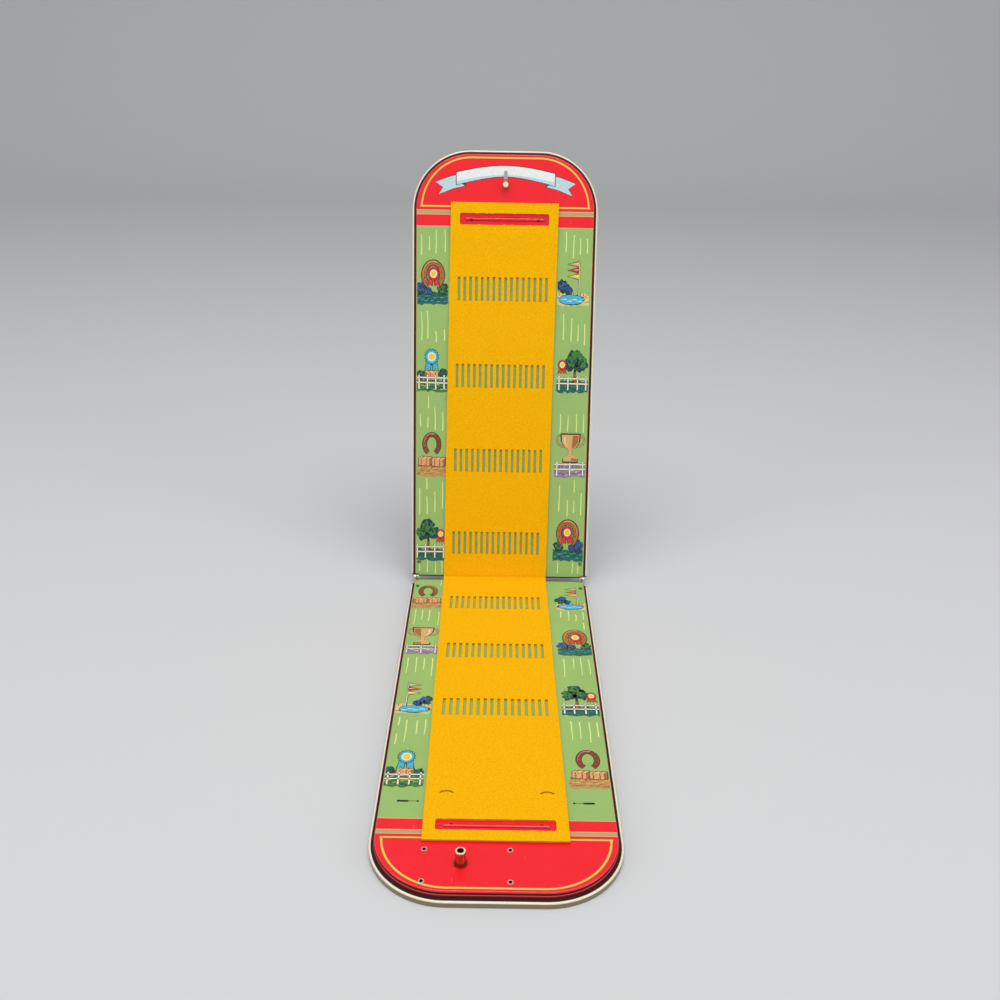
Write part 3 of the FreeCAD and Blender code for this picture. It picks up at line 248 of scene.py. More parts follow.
def noise(tree, place, scale, detail=2.0, distortion=0.0):
    node = tree.nodes.new("ShaderNodeTexNoise")
    feed(tree, node, {"Vector": place, "Scale": scale, "Detail": detail,
                      "Distortion": distortion})
    return node.outputs["Fac"]


def new_group(name, sockets_in, sockets_out):
    tree = bpy.data.node_groups.new(name, "ShaderNodeTree")
    for title, kind in sockets_in:
        tree.interface.new_socket(title, in_out="INPUT", socket_type=kind)
    for title, kind in sockets_out:
        tree.interface.new_socket(title, in_out="OUTPUT", socket_type=kind)
    return tree, tree.nodes.new("NodeGroupInput"), tree.nodes.new("NodeGroupOutput")


def distance(tree, dx, dy):
    square = calc(tree, "MULTIPLY_ADD", dx, dx, calc(tree, "MULTIPLY", dy, dy))
    return calc(tree, "SQRT", square)


def inset_from(tree, across, along, half_width, half_length, radius):
    """How far a point lies inside a plan with rounded far corners."""
    side = calc(tree, "SUBTRACT", across, half_width - radius)
    far = calc(tree, "SUBTRACT", along, half_length - radius)
    corner = distance(tree, calc(tree, "MAXIMUM", side, 0.0), calc(tree, "MAXIMUM", far, 0.0))
    within = calc(tree, "MINIMUM", calc(tree, "MAXIMUM", side, far), 0.0)
    return calc(tree, "SUBTRACT", radius, calc(tree, "ADD", corner, within))


RED = linear(250, 20, 38)
GREEN = linear(156, 192, 108)
OLIVE = linear(186, 168, 112)
CREAM = linear(252, 240, 214)
# Painted shade in part: the step's and gutter's maroon print, darkened to near black for the shade
# in the recess.
MAROON_AND_SHADE = linear(34, 2, 4)
# Painted shade: the cream skirt, coloured dark olive as if it stood in shadow.
SHADED_SKIRT = linear(130, 119, 90)
# Painted shade in part: the step wall's dark red print, darkened further as painted shade.
DARK_RED_AND_SHADE = linear(92, 4, 12)
# Painted highlight: a bright red line on the step's rounded ledge.
LEDGE_HIGHLIGHT = linear(214, 46, 46)
# Painted shade: a near-black line along each half's hinge edge, for the shadow in the gap between
# the halves.
HINGE_EDGE_SHADE = linear(16, 22, 14)
STRIPE = linear(252, 166, 56)
STRIPE_LIGHT = linear(255, 206, 112)
HAIRLINE = linear(238, 190, 130)
INK_BROWN = linear(120, 24, 14)
BLACK = linear(24, 22, 24)
RIBBON = linear(240, 246, 244)
RIBBON_SHADE = linear(196, 222, 230)


def print_bands(tree, along):
    """Turf green, then red, olive and red towards the round end, with hairlines between."""
    field = GREEN
    for edge, ink in ((294.5, HAIRLINE), (295.0, RED), (304.0, HAIRLINE), (304.5, OLIVE),
                      (307.3, HAIRLINE), (307.8, RED)):
        field = coat(tree, field, ink, rise(tree, along, edge, 0.08))
    return field


def print_stripe(tree, field, across, along):
    """A yellow line with brown edges that follows the round end and closes across it."""
    base, line_width, line_length, line_corner = 310.7, 68.3, 349.3, 40.5
    from_line = inset_from(tree, across, along, line_width, line_length, line_corner)
    off_arch = calc(tree, "ABSOLUTE", from_line)
    off_base = calc(tree, "ABSOLUTE", calc(tree, "SUBTRACT", along, base))
    inside = rise(tree, from_line, -1.1, 0.08)
    for half_width, soft, ink in ((1.15, 0.12, INK_BROWN), (0.85, 0.1, STRIPE),
                                  (0.3, 0.2, STRIPE_LIGHT)):
        arch = both(tree, below(tree, off_arch, half_width, soft),
                    rise(tree, along, base - half_width, 0.1))
        line = both(tree, below(tree, off_base, half_width, soft), inside)
        field = coat(tree, field, ink, either(tree, arch, line))
    return field


def print_slot_lip(tree, field, across, reach):
    """The ribbon's inks on the lip of the thumb slot, which only the finish half has."""
    for low, high, ink in ((334.15, 341.0, BLACK), (334.7, 341.0, RIBBON),
                           (334.7, 335.9, RIBBON_SHADE)):
        lip = both(tree, below(tree, across, 2.5), band(tree, reach, low, high, 0.05))
        field = coat(tree, field, ink, lip)
    return field


def print_and_shade_sides(tree, field, inset, along, height):
    """Round the field a maroon step and gutter darkened as painted shade, a painted highlight on
    the ledge, a cream rim, and a skirt and hinge edge in painted shade.
    """
    low_step = below(tree, height, STEP_HEIGHT, 0.1)
    face = rise(tree, height, STEP_HEIGHT, 0.1)
    ledge = both(tree, rise(tree, inset, 3.05, 0.04), rise(tree, height, DECK - 2.66, 0.06))
    printed = MAROON_AND_SHADE
    for ink, mask in ((CREAM, below(tree, inset, 1.35, 0.12)),
                      (DARK_RED_AND_SHADE, rise(tree, inset, 2.95, 0.1)),
                      (LEDGE_HIGHLIGHT, ledge),
                      (MAROON_AND_SHADE, both(tree, rise(tree, inset, 3.55, 0.05), low_step)),
                      (field, both(tree, rise(tree, inset, 3.6, 0.05), face)),
                      (HINGE_EDGE_SHADE, below(tree, along, 1.35, 0.12)),
                      (SHADED_SKIRT, below(tree, height, DECK - 5.3, 0.25))):
        printed = coat(tree, printed, ink, mask)
    return printed


def front_of_tin(tree, inset, along, height):
    """Where the tin's printed side is, as against its bare back."""
    return either(tree, below(tree, inset, 0.25), below(tree, along, 0.65),
                  both(tree, rise(tree, height, DECK - 4.95, 0.02), below(tree, inset, 3.35)),
                  both(tree, rise(tree, height, DECK - 2.55, 0.02), below(tree, inset, 3.95)),
                  rise(tree, height, DECK - 0.25, 0.02),
                  both(tree, below(tree, height, DECK - 6.55), below(tree, inset, 1.05)))


def bare_tinplate(tree, place, scratch, stain):
    """Rolled tin with stains, specks of rust and bright scratches."""
    rolled = noise(tree, stretch(tree, place, (1.1, 0.012, 1.1)), 1.0, 4.0)
    rust = rise(tree, noise(tree, place, 0.55, 5.0, 0.8), 0.69, 0.02)
    tin = coat(tree, linear(138, 130, 106), linear(206, 198, 176), rolled)
    return soiled(tree, tin, (linear(122, 102, 70), stain, 0.5), (linear(96, 58, 32), rust, 0.7),
                  (linear(232, 228, 214), scratch, 0.7))


def make_print_group():
    """All inks of a half, with painted shade and highlight round its sides, and the bare tin where
    they end or are chipped.
    """
    tree, given, result = new_group(
        "tin_print_and_shade", [("Place", "NodeSocketVector")],
        [("Colour", "NodeSocketColor"), ("Bare", "NodeSocketFloat"),
         ("Roughness", "NodeSocketFloat"), ("Gloss", "NodeSocketFloat"),
         ("Height", "NodeSocketFloat")])
    place = given.outputs["Place"]
    x, y, height = axes(tree, place)
    across = calc(tree, "ABSOLUTE", x)
    along = calc(tree, "ABSOLUTE", y)
    inset = inset_from(tree, across, along, HALF_WIDTH, HALF_LENGTH, FAR_CORNER)
    field = print_stripe(tree, print_bands(tree, along), across, along)
    field = print_slot_lip(tree, field, across, y)
    printed = print_and_shade_sides(tree, field, inset, along, height)

    cloud = noise(tree, place, 0.05, 2.0)
    shade = calc(tree, "MULTIPLY_ADD", noise(tree, place, 3.4, 3.0), 0.12, 0.90)
    shade = calc(tree, "MULTIPLY_ADD", cloud, 0.08, shade)
    scratch = noise(tree, stretch(tree, place, (2.2, 0.06, 1.0), 0.5), 1.0, 2.0)
    scratch = rise(tree, scratch, 0.765, 0.01)
    scuffed = both(tree, scratch, calc(tree, "MULTIPLY", cloud, 0.8))
    printed = coat(tree, shaded(tree, printed, shade), linear(236, 206, 176), scuffed)

    chips = rise(tree, noise(tree, place, 1.6, 4.0, 0.6), 0.71, 0.015)
    face_edge = both(tree, band(tree, inset, 3.55, 4.35, 0.15),
                     rise(tree, height, DECK - 0.7, 0.1))
    rim_edge = band(tree, inset, -0.1, 0.9, 0.1)
    chipped = both(tree, chips, either(tree, face_edge, rim_edge))
    back = without(tree, front_of_tin(tree, inset, along, height))
    bare = either(tree, back, chipped)
    stain = rise(tree, noise(tree, place, 0.016, 6.0, 0.3), 0.60, 0.20)
    tin = bare_tinplate(tree, place, scratch, stain)

    sunk = both(tree, rise(tree, inset, 1.35, 0.1), below(tree, height, STEP_HEIGHT, 0.1))
    rough = calc(tree, "MULTIPLY_ADD", cloud, 0.10, 0.20)
    rough = calc(tree, "MULTIPLY_ADD", scratch, 0.25, rough)
    rough = calc(tree, "MULTIPLY_ADD", sunk, 0.35, rough)
    dull = calc(tree, "MULTIPLY_ADD", stain, 0.2, 0.10)
    waves = calc(tree, "MULTIPLY", noise(tree, place, 0.035, 1.0), 0.6)
    feed(tree, result, {"Colour": coat(tree, printed, tin, bare), "Bare": bare,
                        "Roughness": calc(tree, "MULTIPLY_ADD", bare, dull, rough),
                        "Gloss": calc(tree, "MULTIPLY_ADD", sunk, -0.35, 0.35),
                        "Height": calc(tree, "MULTIPLY_ADD", chipped, -0.02, waves)})
    return tree


PRINT_GROUP = make_print_group()


def object_place(tree):
    return tree.nodes.new("ShaderNodeTexCoord").outputs["Object"]


def place_on_half(tree, lift):
    """Millimetres on the flat board, from the pivot axis, wherever the half is standing."""
    mapping = tree.nodes.new("ShaderNodeMapping")
    mapping.vector_type = "TEXTURE"
    mapping.inputs["Location"].default_value = PIVOT
    mapping.inputs["Rotation"].default_value = (lift, 0.0, 0.0)
    mapping.inputs["Scale"].default_value = (MILLIMETRE,) * 3
    tree.links.new(object_place(tree), mapping.inputs["Vector"])
    return mapping.outputs[0]


def bump(tree, shader, height, strength, distance):
    node = tree.nodes.new("ShaderNodeBump")
    feed(tree, node, {"Height": height, "Strength": strength, "Distance": distance})
    tree.links.new(node.outputs["Normal"], shader.inputs["Normal"])


def printed_tin(name, lift):
    material, tree, shader = new_material(name)
    printing = tree.nodes.new("ShaderNodeGroup")
    printing.node_tree = PRINT_GROUP
    feed(tree, printing, {"Place": place_on_half(tree, lift)})
    given = printing.outputs
    feed(tree, shader, {"Base Color": given["Colour"], "Metallic": given["Bare"],
                        "Roughness": given["Roughness"], "Coat Weight": given["Gloss"],
                        "Coat Roughness": 0.08})
    bump(tree, shader, given["Height"], 0.5, 0.001)
    return material


def dress(node, material):
    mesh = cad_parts[node].data
    mesh.materials.clear()
    mesh.materials.append(material)


dress("start_panel", printed_tin("start_print_and_shade", 0.0))
dress("finish_panel", printed_tin("finish_print_and_shade", LIFT))


# Printed pictures
# Dashes for turf, small scenes beside the track and a plain ribbon over the thumb slot,
# all in printer's inks under the varnish. They are laid as thin films on the tin.
def onto_half(half):
    """From millimetres on the flat board to the place of a half at rest."""
    lift = LIFT if half == "finish_half" else 0.0
    return (Matrix.Translation(PIVOT) @ Matrix.Rotation(lift, 4, "X")
            @ Matrix.Scale(MILLIMETRE, 4))


DASH = linear(226, 244, 150)
BAY = linear(176, 104, 52)
TAN = linear(224, 176, 112)
CHESTNUT = linear(142, 62, 30)
YELLOW = linear(246, 212, 52)
SCARLET = linear(226, 40, 36)
SKY = linear(70, 186, 222)
TEAL = linear(20, 104, 92)
LEAF = linear(52, 128, 60)
DEEP = linear(18, 62, 60)
BLUE = linear(36, 84, 164)
CHALK = linear(246, 244, 226)
PLUM = linear(150, 132, 158)
EARTH = linear(196, 150, 84)
SAND = linear(232, 206, 134)
PINK = linear(238, 150, 140)


def draw_loop(shape, points, height=0.0):
    """A closed line, given back as its corners and its edges."""
    corners = [shape.verts.new((x, y, height)) for x, y in points]
    return corners, [shape.edges.new((corners[i - 1], corners[i])) for i in range(len(corners))]


def fill_loops(shape, edges):
    bmesh.ops.triangle_fill(shape, edges=edges, use_beauty=True, normal=(0.0, 0.0, 1.0))


def divide(shape, place, facing, clear_outer=False):
    bmesh.ops.bisect_plane(shape, geom=shape.verts[:] + shape.edges[:] + shape.faces[:],
                           plane_co=place, plane_no=facing, clear_outer=clear_outer)


def face_up(shape):
    bmesh.ops.recalc_face_normals(shape, faces=shape.faces)
    for face in shape.faces:
        if face.normal.z < 0.0:
            face.normal_flip()


class Print:
    """One set of inks, laid in order on the tin."""

    def __init__(self):
        self.shape = bmesh.new()
        self.ink = self.shape.verts.layers.float_color.new("ink")
        self.picture(0.0, 0.0, 1.0)

    def picture(self, x, y, flip):
        self.place = (x, y)
        self.flip = flip
        self.height = DECK + 0.01

    def over(self):
        """What follows is printed over what is there."""
        self.height += 0.012

    def patch(self, points, colour):
        """A flat patch of one ink inside a closed line."""
        centre_x, centre_y = self.place
        placed = [(centre_x + self.flip * x, centre_y + y) for x, y in points]
        corners, edges = draw_loop(self.shape, placed, self.height)
        for corner in corners:
            corner[self.ink] = (*colour, 1.0)
        fill_loops(self.shape, edges)

    def layer(self, shapes, colour):
        """Patches of one ink, with what follows printed over them."""
        for points in shapes:
            self.patch(points, colour)
        self.over()

    def stroke(self, points, width, colour, end_width=None):
        """A brushed line that may narrow towards its end."""
        last = width if end_width is None else end_width
        left, right = [], []
        for index, (x, y) in enumerate(points):
            before = points[max(index - 1, 0)]
            after = points[min(index + 1, len(points) - 1)]
            dx, dy = after[0] - before[0], after[1] - before[1]
            length = math.hypot(dx, dy) or 1.0
            half = (width + (last - width) * index / (len(points) - 1)) / 2
            left.append((x - dy / length * half, y + dx / length * half))
            right.append((x + dy / length * half, y - dx / length * half))
        self.patch(left + right[::-1], colour)

    def blob(self, x, y, wide, high, colour, ragged=0.0, steps=14):
        """A rounded patch, ragged like foliage when asked."""
        points = []
        for step in range(steps):
            angle = 2 * math.pi * step / steps
            reach = 1.0 + ragged * (0.5 - print_luck.random())
            points.append((x + wide * reach * math.cos(angle),
                           y + high * reach * math.sin(angle)))
        self.patch(points, colour)


print_luck = random.Random(12)


def turf(ink, ground, shade, light):
    """Ragged ground in three inks, with brushed tufts along it."""
    low, high = [], []
    for step in range(12):
        x = -13.2 + 2.4 * step
        low.append((x, -19.5 + 2.0 * print_luck.random()))
        high.append((x, -9.6 + 2.2 * print_luck.random()))
    ink.patch(low + high[::-1], ground)
    ink.over()
    for number in range(12):
        x = -12.0 + 2.15 * number + print_luck.random()
        y = -17.4 + 6.4 * print_luck.random()
        ink.stroke([(x - 1.9, y), (x, y + 0.5), (x + 2.1, y - 0.1)], 1.1, shade, 0.2)
    ink.over()
    for number in range(9):
        x = -11.0 + 2.7 * number + print_luck.random()
        y = -17.0 + 6.4 * print_luck.random()
        ink.stroke([(x - 1.4, y), (x + 1.5, y + 0.3)], 0.7, light, 0.2)
    ink.over()
    for number in range(9):
        x = -12.4 + 2.9 * number + print_luck.random()
        ink.stroke([(x, -10.6), (x + 0.6 - print_luck.random(), -7.2)], 0.55, DEEP, 0.1)
    ink.over()


def rails(ink, y, posts):
    for width, colour in ((1.7, BLACK), (1.1, CHALK)):
        for x in posts:
            ink.stroke([(x, y - 9.5), (x, y + 2.2)], width, colour)
        for drop in (0.0, 4.2):
            ink.stroke([(-13.0, y - drop), (13.0, y - drop + 0.3)], width, colour)
        ink.over()


def bushes(ink, spots, dark, light):
    """Round bushes, each given as x, y and size."""
    for x, y, size in spots:
        ink.blob(x, y, size * 1.1, size * 1.25, dark, 0.5, 18)
    ink.over()
    for x, y, size in spots:
        ink.blob(x - size * 0.2, y + size * 0.2, size * 0.75, size * 0.85, light, 0.7, 16)
    ink.over()
    for x, y, size in spots:
        for number in range(4):
            ink.blob(x + size * (print_luck.random() - 0.6),
                     y + size * (print_luck.random() - 0.4), size * 0.2, size * 0.22, dark,
                     0.8, 7)
    ink.over()


def horseshoe(ink, x, y, size, colour, light):
    def spot(angle, reach=1.0):
        return (x + size * 0.74 * reach * math.cos(math.radians(angle)),
                y + size * reach * math.sin(math.radians(angle)))

    arc = [spot(angle) for angle in range(-62, 243, 8)]
    ink.stroke(arc, size * 0.50, BLACK)
    ink.over()
    ink.stroke(arc, size * 0.38, colour)
    ink.over()
    ink.stroke([spot(angle, 1.1) for angle in range(70, 206, 8)], size * 0.09, light, 0.1)
    for angle in (-42, -14, 14, 42, 70, 110, 138, 166, 194, 222):
        ink.blob(*spot(angle, 0.97), 0.42, 0.5, BLACK, 0.0, 6)
    ink.over()


def rosette(ink, x, y, size, outer, inner):
    tails = []
    for lean in (-1, 1):
        tails.append([(x, y), (x + lean * size * 0.25, y - size * 2.3),
                      (x + lean * size * 0.7, y - size * 1.9),
                      (x + lean * size * 1.1, y - size * 2.4),
                      (x + lean * size * 0.75, y - size * 0.2)])
    for tail in tails:
        middle = sum(px for px, py in tail) / 5
        ink.patch([(middle + (px - middle) * 1.25, py - 0.35) for px, py in tail], BLACK)
    ink.over()
    ink.layer(tails, outer)
    petals = []
    for step in range(32):
        angle = 2 * math.pi * step / 32
        reach = size * (1.14 if step % 2 else 0.9)
        petals.append((x + reach * math.cos(angle), y + reach * 1.15 * math.sin(angle)))
    ink.layer([[(x + (px - x) * 1.12, y + (py - y) * 1.12) for px, py in petals]], BLACK)
    ink.layer([petals], outer)
    ink.blob(x, y, size * 0.68, size * 0.78, CHALK)
    ink.over()
    ink.blob(x, y, size * 0.5, size * 0.58, inner)
    ink.over()


def cup(ink, x, y, size, colour, shade):
    def grown(points, wide=1.0, high=1.0):
        return [(x + wide * size * px, y + high * size * py) for px, py in points]

    outline = [(-1.0, 1.5), (1.0, 1.5), (0.95, 0.7), (0.6, 0.1), (0.2, -0.2), (0.2, -0.8),
               (0.75, -1.1), (0.75, -1.5), (-0.75, -1.5), (-0.75, -1.1), (-0.2, -0.8),
               (-0.2, -0.2), (-0.6, 0.1), (-0.95, 0.7)]
    handle = ((0.9, 1.25), (1.35, 1.35), (1.55, 1.0), (1.4, 0.5), (1.0, 0.2), (0.6, 0.2))
    for width, paint in ((1.7, BLACK), (0.9, colour)):
        for lean in (-1, 1):
            ink.stroke(grown(handle, lean), width, paint)
        ink.over()
    ink.layer([grown(outline, 1.14, 1.1)], BLACK)
    ink.layer([grown(outline)], colour)
    ink.patch(grown(((0.25, 1.4), (0.92, 1.4), (0.87, 0.7), (0.5, 0.15), (0.16, -0.1))), shade)
    ink.patch(grown(((0.1, -1.12), (0.7, -1.18), (0.7, -1.42), (0.1, -1.42))), shade)
    ink.stroke(grown(((-0.66, 1.25), (-0.6, 0.6), (-0.4, 0.2))), 1.0, CHALK, 0.2)
    ink.over()


def pennants(ink, x, y, height, colours):
    ink.stroke([(x, y - height), (x + 0.2, y + 1.0)], 1.3, BLACK)
    flags = [[(x, y - 5.0 * number), (x + 9.0, y - 5.0 * number - 2.0),
              (x, y - 5.0 * number - 4.0)] for number in range(len(colours))]
    for flag in flags:
        middle = flag[1][1]
        ink.patch([(px + (px - x) * 0.12 + 0.1, middle + (py - middle) * 1.3)
                   for px, py in flag], BLACK)
    ink.over()
    ink.stroke([(x - 0.1, y - height), (x + 0.1, y + 0.6)], 0.6, CHALK)
    for flag, colour in zip(flags, colours):
        ink.patch(flag, colour)
    ink.over()
    for flag in flags:
        ink.stroke([(x + 0.8, flag[1][1] + 0.6), (x + 5.0, flag[1][1] + 0.2)], 0.6, CHALK,
                   0.1)
    ink.over()


def leafy_tree(ink, x, y, size, dark, light):
    ink.stroke([(x, y - size * 2.4), (x + 0.5, y - size), (x - 0.2, y)], 2.6, BLACK, 1.4)
    ink.over()
    ink.stroke([(x - 0.1, y - size * 2.4), (x + 0.4, y - size)], 1.5, BAY, 0.8)
    ink.over()
    bushes(ink, [(x - 0.75 * size, y + 0.1 * size, 0.8 * size),
                 (x + 0.75 * size, y + 0.2 * size, 0.75 * size),
                 (x, y + 0.9 * size, 0.9 * size)], dark, light)


def pond(ink, water):
    ink.blob(1.5, -13.8, 11.2, 4.3, BLACK, 0.12, 22)
    ink.over()
    ink.blob(1.5, -13.7, 10.6, 3.7, water, 0.12, 22)
    ink.over()
    for number in range(4):
        x = -5.0 + 4.2 * number
        ink.stroke([(x - 2.0, -15.0 + 1.4 * (number % 2)), (x + 2.2, -14.8 + number % 2)], 0.8,
                   CHALK, 0.2)
    ink.over()


def bales(ink, spots):
    """Square straw bales with a lighter top, each tied with two bands."""
    shapes = []
    for x, y in spots:
        front = [(x - 5.4, y - 4.0), (x + 3.4, y - 4.4), (x + 3.4, y + 1.6), (x - 5.4, y + 2.0)]
        end = [(x + 3.4, y - 4.4), (x + 5.8, y - 2.8), (x + 5.8, y + 3.0), (x + 3.4, y + 1.6)]
        top = [(x - 5.4, y + 2.0), (x + 3.4, y + 1.6), (x + 5.8, y + 3.0), (x - 3.0, y + 3.5)]
        shapes.append((front, end, top))
    for shape in shapes:
        for side in shape:
            middle_x = sum(px for px, py in side) / 4
            middle_y = sum(py for px, py in side) / 4
            ink.patch([(px + (0.5 if px > middle_x else -0.5),
                        py + (0.5 if py > middle_y else -0.5)) for px, py in side], BLACK)
    ink.over()
    for shape in shapes:
        for side, colour in zip(shape, (TAN, BAY, SAND)):
            ink.patch(side, colour)
    ink.over()
    for x, y in spots:
        for number in range(6):
            start = x - 4.9 + 1.4 * number
            ink.stroke([(start, y - 3.4 + 1.7 * (number % 3)),
                        (start + 1.4, y - 3.1 + 1.8 * (number % 3))], 0.5, CHESTNUT, 0.2)
        for reach in (-3.4, 0.9):
            ink.stroke([(x + reach, y - 4.1), (x + reach, y + 1.8), (x + reach + 2.4, y + 3.3)],
                       0.8, SCARLET)
    ink.over()


def draw_scene(ink, kind, x, y, flip):
    """One small picture beside the track, about 26 by 40 mm."""
    ink.picture(x, y, flip)
    if kind == "shoe":
        turf(ink, TEAL, DEEP, SKY)
        bushes(ink, [(-8.6, -5.5, 4.4), (-2.8, -7.5, 3.0)], DEEP, BLUE)
        bushes(ink, [(8.8, -6.0, 3.8)], DEEP, LEAF)
        horseshoe(ink, 0.8, 5.5, 10.0, BAY, TAN)
        rosette(ink, 1.2, 6.5, 4.3, SCARLET, YELLOW)
    elif kind == "pond":
        turf(ink, SAND, EARTH, CHALK)
        bushes(ink, [(9.0, -3.6, 4.4), (4.0, -6.4, 3.0)], DEEP, BLUE)
        pond(ink, SKY)
        pennants(ink, -4.5, 17.0, 27.0, (TAN, SCARLET, YELLOW))
    elif kind == "fence":
        turf(ink, LEAF, DEEP, YELLOW)
        bushes(ink, [(-9.4, -3.6, 3.6), (9.6, -4.6, 3.2)], DEEP, TEAL)
        bales(ink, ((0.5, -4.5),))
        rails(ink, -7.0, (-10.0, -3.0, 4.0, 11.0))
        rosette(ink, 0.5, 10.5, 5.0, SKY, YELLOW)
    elif kind == "cup":
        turf(ink, PLUM, linear(104, 88, 116), CHALK)
        rails(ink, -7.5, (-11.0, 0.0, 11.0))
        cup(ink, 0.0, 6.5, 7.6, TAN, BAY)
    elif kind == "tree":
        turf(ink, TEAL, DEEP, LEAF)
        leafy_tree(ink, -2.5, 4.5, 6.2, DEEP, LEAF)
        rails(ink, -7.0, (-11.5, -4.5, 3.5, 11.0))
        rosette(ink, 8.6, 4.5, 3.2, SCARLET, YELLOW)
    else:
        turf(ink, EARTH, BAY, SAND)
        bales(ink, ((-5.6, -5.0), (5.8, -5.6)))
        horseshoe(ink, 0.0, 9.0, 8.2, CHESTNUT, PINK)


def dashes(ink, side, gaps, columns):
    """Pale brushed dashes in loose columns between the pictures."""
    ink.picture(0.0, 0.0, 1.0)
    for near, far in gaps:
        for x in columns:
            start = near + 6.0 * print_luck.random()
            while start < far - 8.0:
                length = min(9.0 + 15.0 * print_luck.random(), far - start)
                lean = 0.8 * (print_luck.random() - 0.5)
                base = x + 1.6 * (print_luck.random() - 0.5)
                ink.stroke([(base, side * start), (base + 0.2, side * (start + length * 0.5)),
                            (base + lean, side * (start + length))], 0.95, DASH,
                           0.45 + 0.5 * print_luck.random())
                start += length + 5.0 + 9.0 * print_luck.random()


def attribute(tree, name):
    node = tree.nodes.new("ShaderNodeAttribute")
    node.attribute_name = name
    return node.outputs


def ink_material():
    """Printed colour with a fine screen of grain, let through to the green where worn."""
    material, tree, shader = new_material("printed_pictures")
    place = object_place(tree)
    grain = noise(tree, place, 2600.0, 3.0)
    broken = noise(tree, place, 900.0, 2.0)
    inked = shaded(tree, attribute(tree, "ink")["Color"],
                   calc(tree, "MULTIPLY_ADD", grain, 0.52, 0.72))
    worn = calc(tree, "MULTIPLY", rise(tree, broken, 0.66, 0.03), 0.55)
    feed(tree, shader, {"Base Color": coat(tree, inked, GREEN, worn),
                        "Roughness": calc(tree, "MULTIPLY_ADD", grain, 0.12, 0.20),
                        "Coat Weight": 0.35, "Coat Roughness": 0.08})
    return material


INKS = ink_material()
FACE_EDGE = 71.8


def lay_print(ink, name, half):
    """Trim a set of inks at the raised face's edges and lay it on its half."""
    for side in (-1.0, 1.0):
        divide(ink.shape, (side * FACE_EDGE, 0.0, 0.0), (side, 0.0, 0.0), clear_outer=True)
    face_up(ink.shape)
    bmesh.ops.transform(ink.shape, matrix=onto_half(half), verts=ink.shape.verts)
    piece = new_piece(name, ink.shape, INKS)
    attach(piece, half)


def draw_ribbon(ink):
    """A bowed ribbon with folded tails, open round the thumb slot."""
    slot, end = 2.45, 40.0
    tails, folds, bodies = [], [], []
    for lean in (-1, 1):
        tails.append([(lean * 33.0, 337.0), (lean * 45.0, 334.2), (lean * 57.0, 329.8),
                      (lean * 51.0, 325.6), (lean * 54.5, 320.0), (lean * 43.0, 324.6),
                      (lean * 33.0, 327.0)])
        folds.append([(lean * 33.0, 331.0), (lean * end, 331.2), (lean * 33.0, 326.8)])
        top, bottom = [], []
        for step in range(16):
            x = lean * (slot + (end - slot) * step / 15)
            bow = 1.4 + 6.0 * math.cos(math.pi * x / 84.0)
            top.append((x, 335.6 + bow))
            bottom.append((x, 325.9 + bow + 1.4 * (1.0 - abs(x) / end)))
        bodies.append((top, bottom))
    for tail in tails:
        ink.stroke(tail + tail[:1], 1.0, BLACK)
        ink.patch(tail, BLACK)
    ink.over()
    ink.layer(tails, RIBBON_SHADE)
    ink.layer(folds, linear(34, 60, 84))
    for top, bottom in bodies:
        ink.patch([(x * 1.014, y + 0.55) for x, y in top]
                  + [(x * 1.014, y - 0.55) for x, y in bottom[::-1]], BLACK)
    ink.patch([(-slot, 340.7), (-slot, 343.5), (slot, 343.5), (slot, 340.7)], BLACK)
    ink.over()
    for top, bottom in bodies:
        ink.patch(top + bottom[::-1], RIBBON)
    ink.patch([(-slot, 340.7), (-slot, 342.97), (slot, 342.97), (slot, 340.7)], RIBBON)
    ink.over()
    ink.layer([[(x, y + 1.2 + 1.6 * abs(x) / end) for x, y in bottom] + bottom[::-1]
               for top, bottom in bodies], RIBBON_SHADE)


def draw_start_arrows(ink):
    """An arrow on each side of the mat, pointing at it."""
    for lean, x in ((1.0, -54.9), (-1.0, 53.9)):
        ink.picture(x, -279.4, lean)
        ink.stroke([(-7.0, 0.0), (0.0, 0.0)], 1.7, BLACK)
        ink.stroke([(0.0, 0.0), (6.4, 0.0)], 0.45, BLACK)
        ink.patch([(5.2, 1.0), (7.2, 0.0), (5.2, -1.0)], BLACK)


def print_half(half, side, gaps, row, draw_ending):
    """All pictures of a half, each given as x, y, kind and which way it faces."""
    pictures = Print()
    dashes(pictures, side, gaps, (-68.5, -62.5, -56.0, -49.5))
    dashes(pictures, side, gaps, (50.0, 56.5, 62.5, 68.5))
    for x, y, kind, flip in row:
        draw_scene(pictures, kind, x, y, float(flip))
    pictures.picture(0.0, 0.0, 1.0)
    draw_ending(pictures)
    lay_print(pictures, half.replace("half", "pictures"), half)


print_half("finish_half", 1.0, ((2, 14), (54, 86), (126, 156), (199, 229), (270, 292)),
           ((-59.5, 33, "tree", 1), (-59, 106, "hay", 1), (-59, 178, "fence", -1),
            (-59.5, 250, "shoe", 1), (59, 34, "shoe", -1), (58.5, 107, "cup", 1),
            (58.5, 179, "tree", -1), (57.5, 251, "pond", -1)), draw_ribbon)
print_half("start_half", -1.0, ((2, 12), (50, 78), (118, 150), (193, 226), (268, 276)),
           ((-60, -31, "hay", -1), (-59.5, -98, "cup", -1), (-60.5, -172, "pond", 1),
            (-60, -248, "fence", 1), (61, -30, "pond", -1), (59, -97, "shoe", 1),
            (58.5, -172, "tree", 1), (59.5, -247, "hay", 1)), draw_start_arrows)


# Felt mat
# One strip of pressed yellow felt laid over both halves, slotted in seven rows and hooked
# over the bars by a window at each end. It folds at the hinge and lies loose elsewhere.
MAT_HALF_LENGTH = 314.0
MAT_HALF_WIDTH = 44.0
MAT_THICKNESS = 1.1
BAR_REACH = 300.85


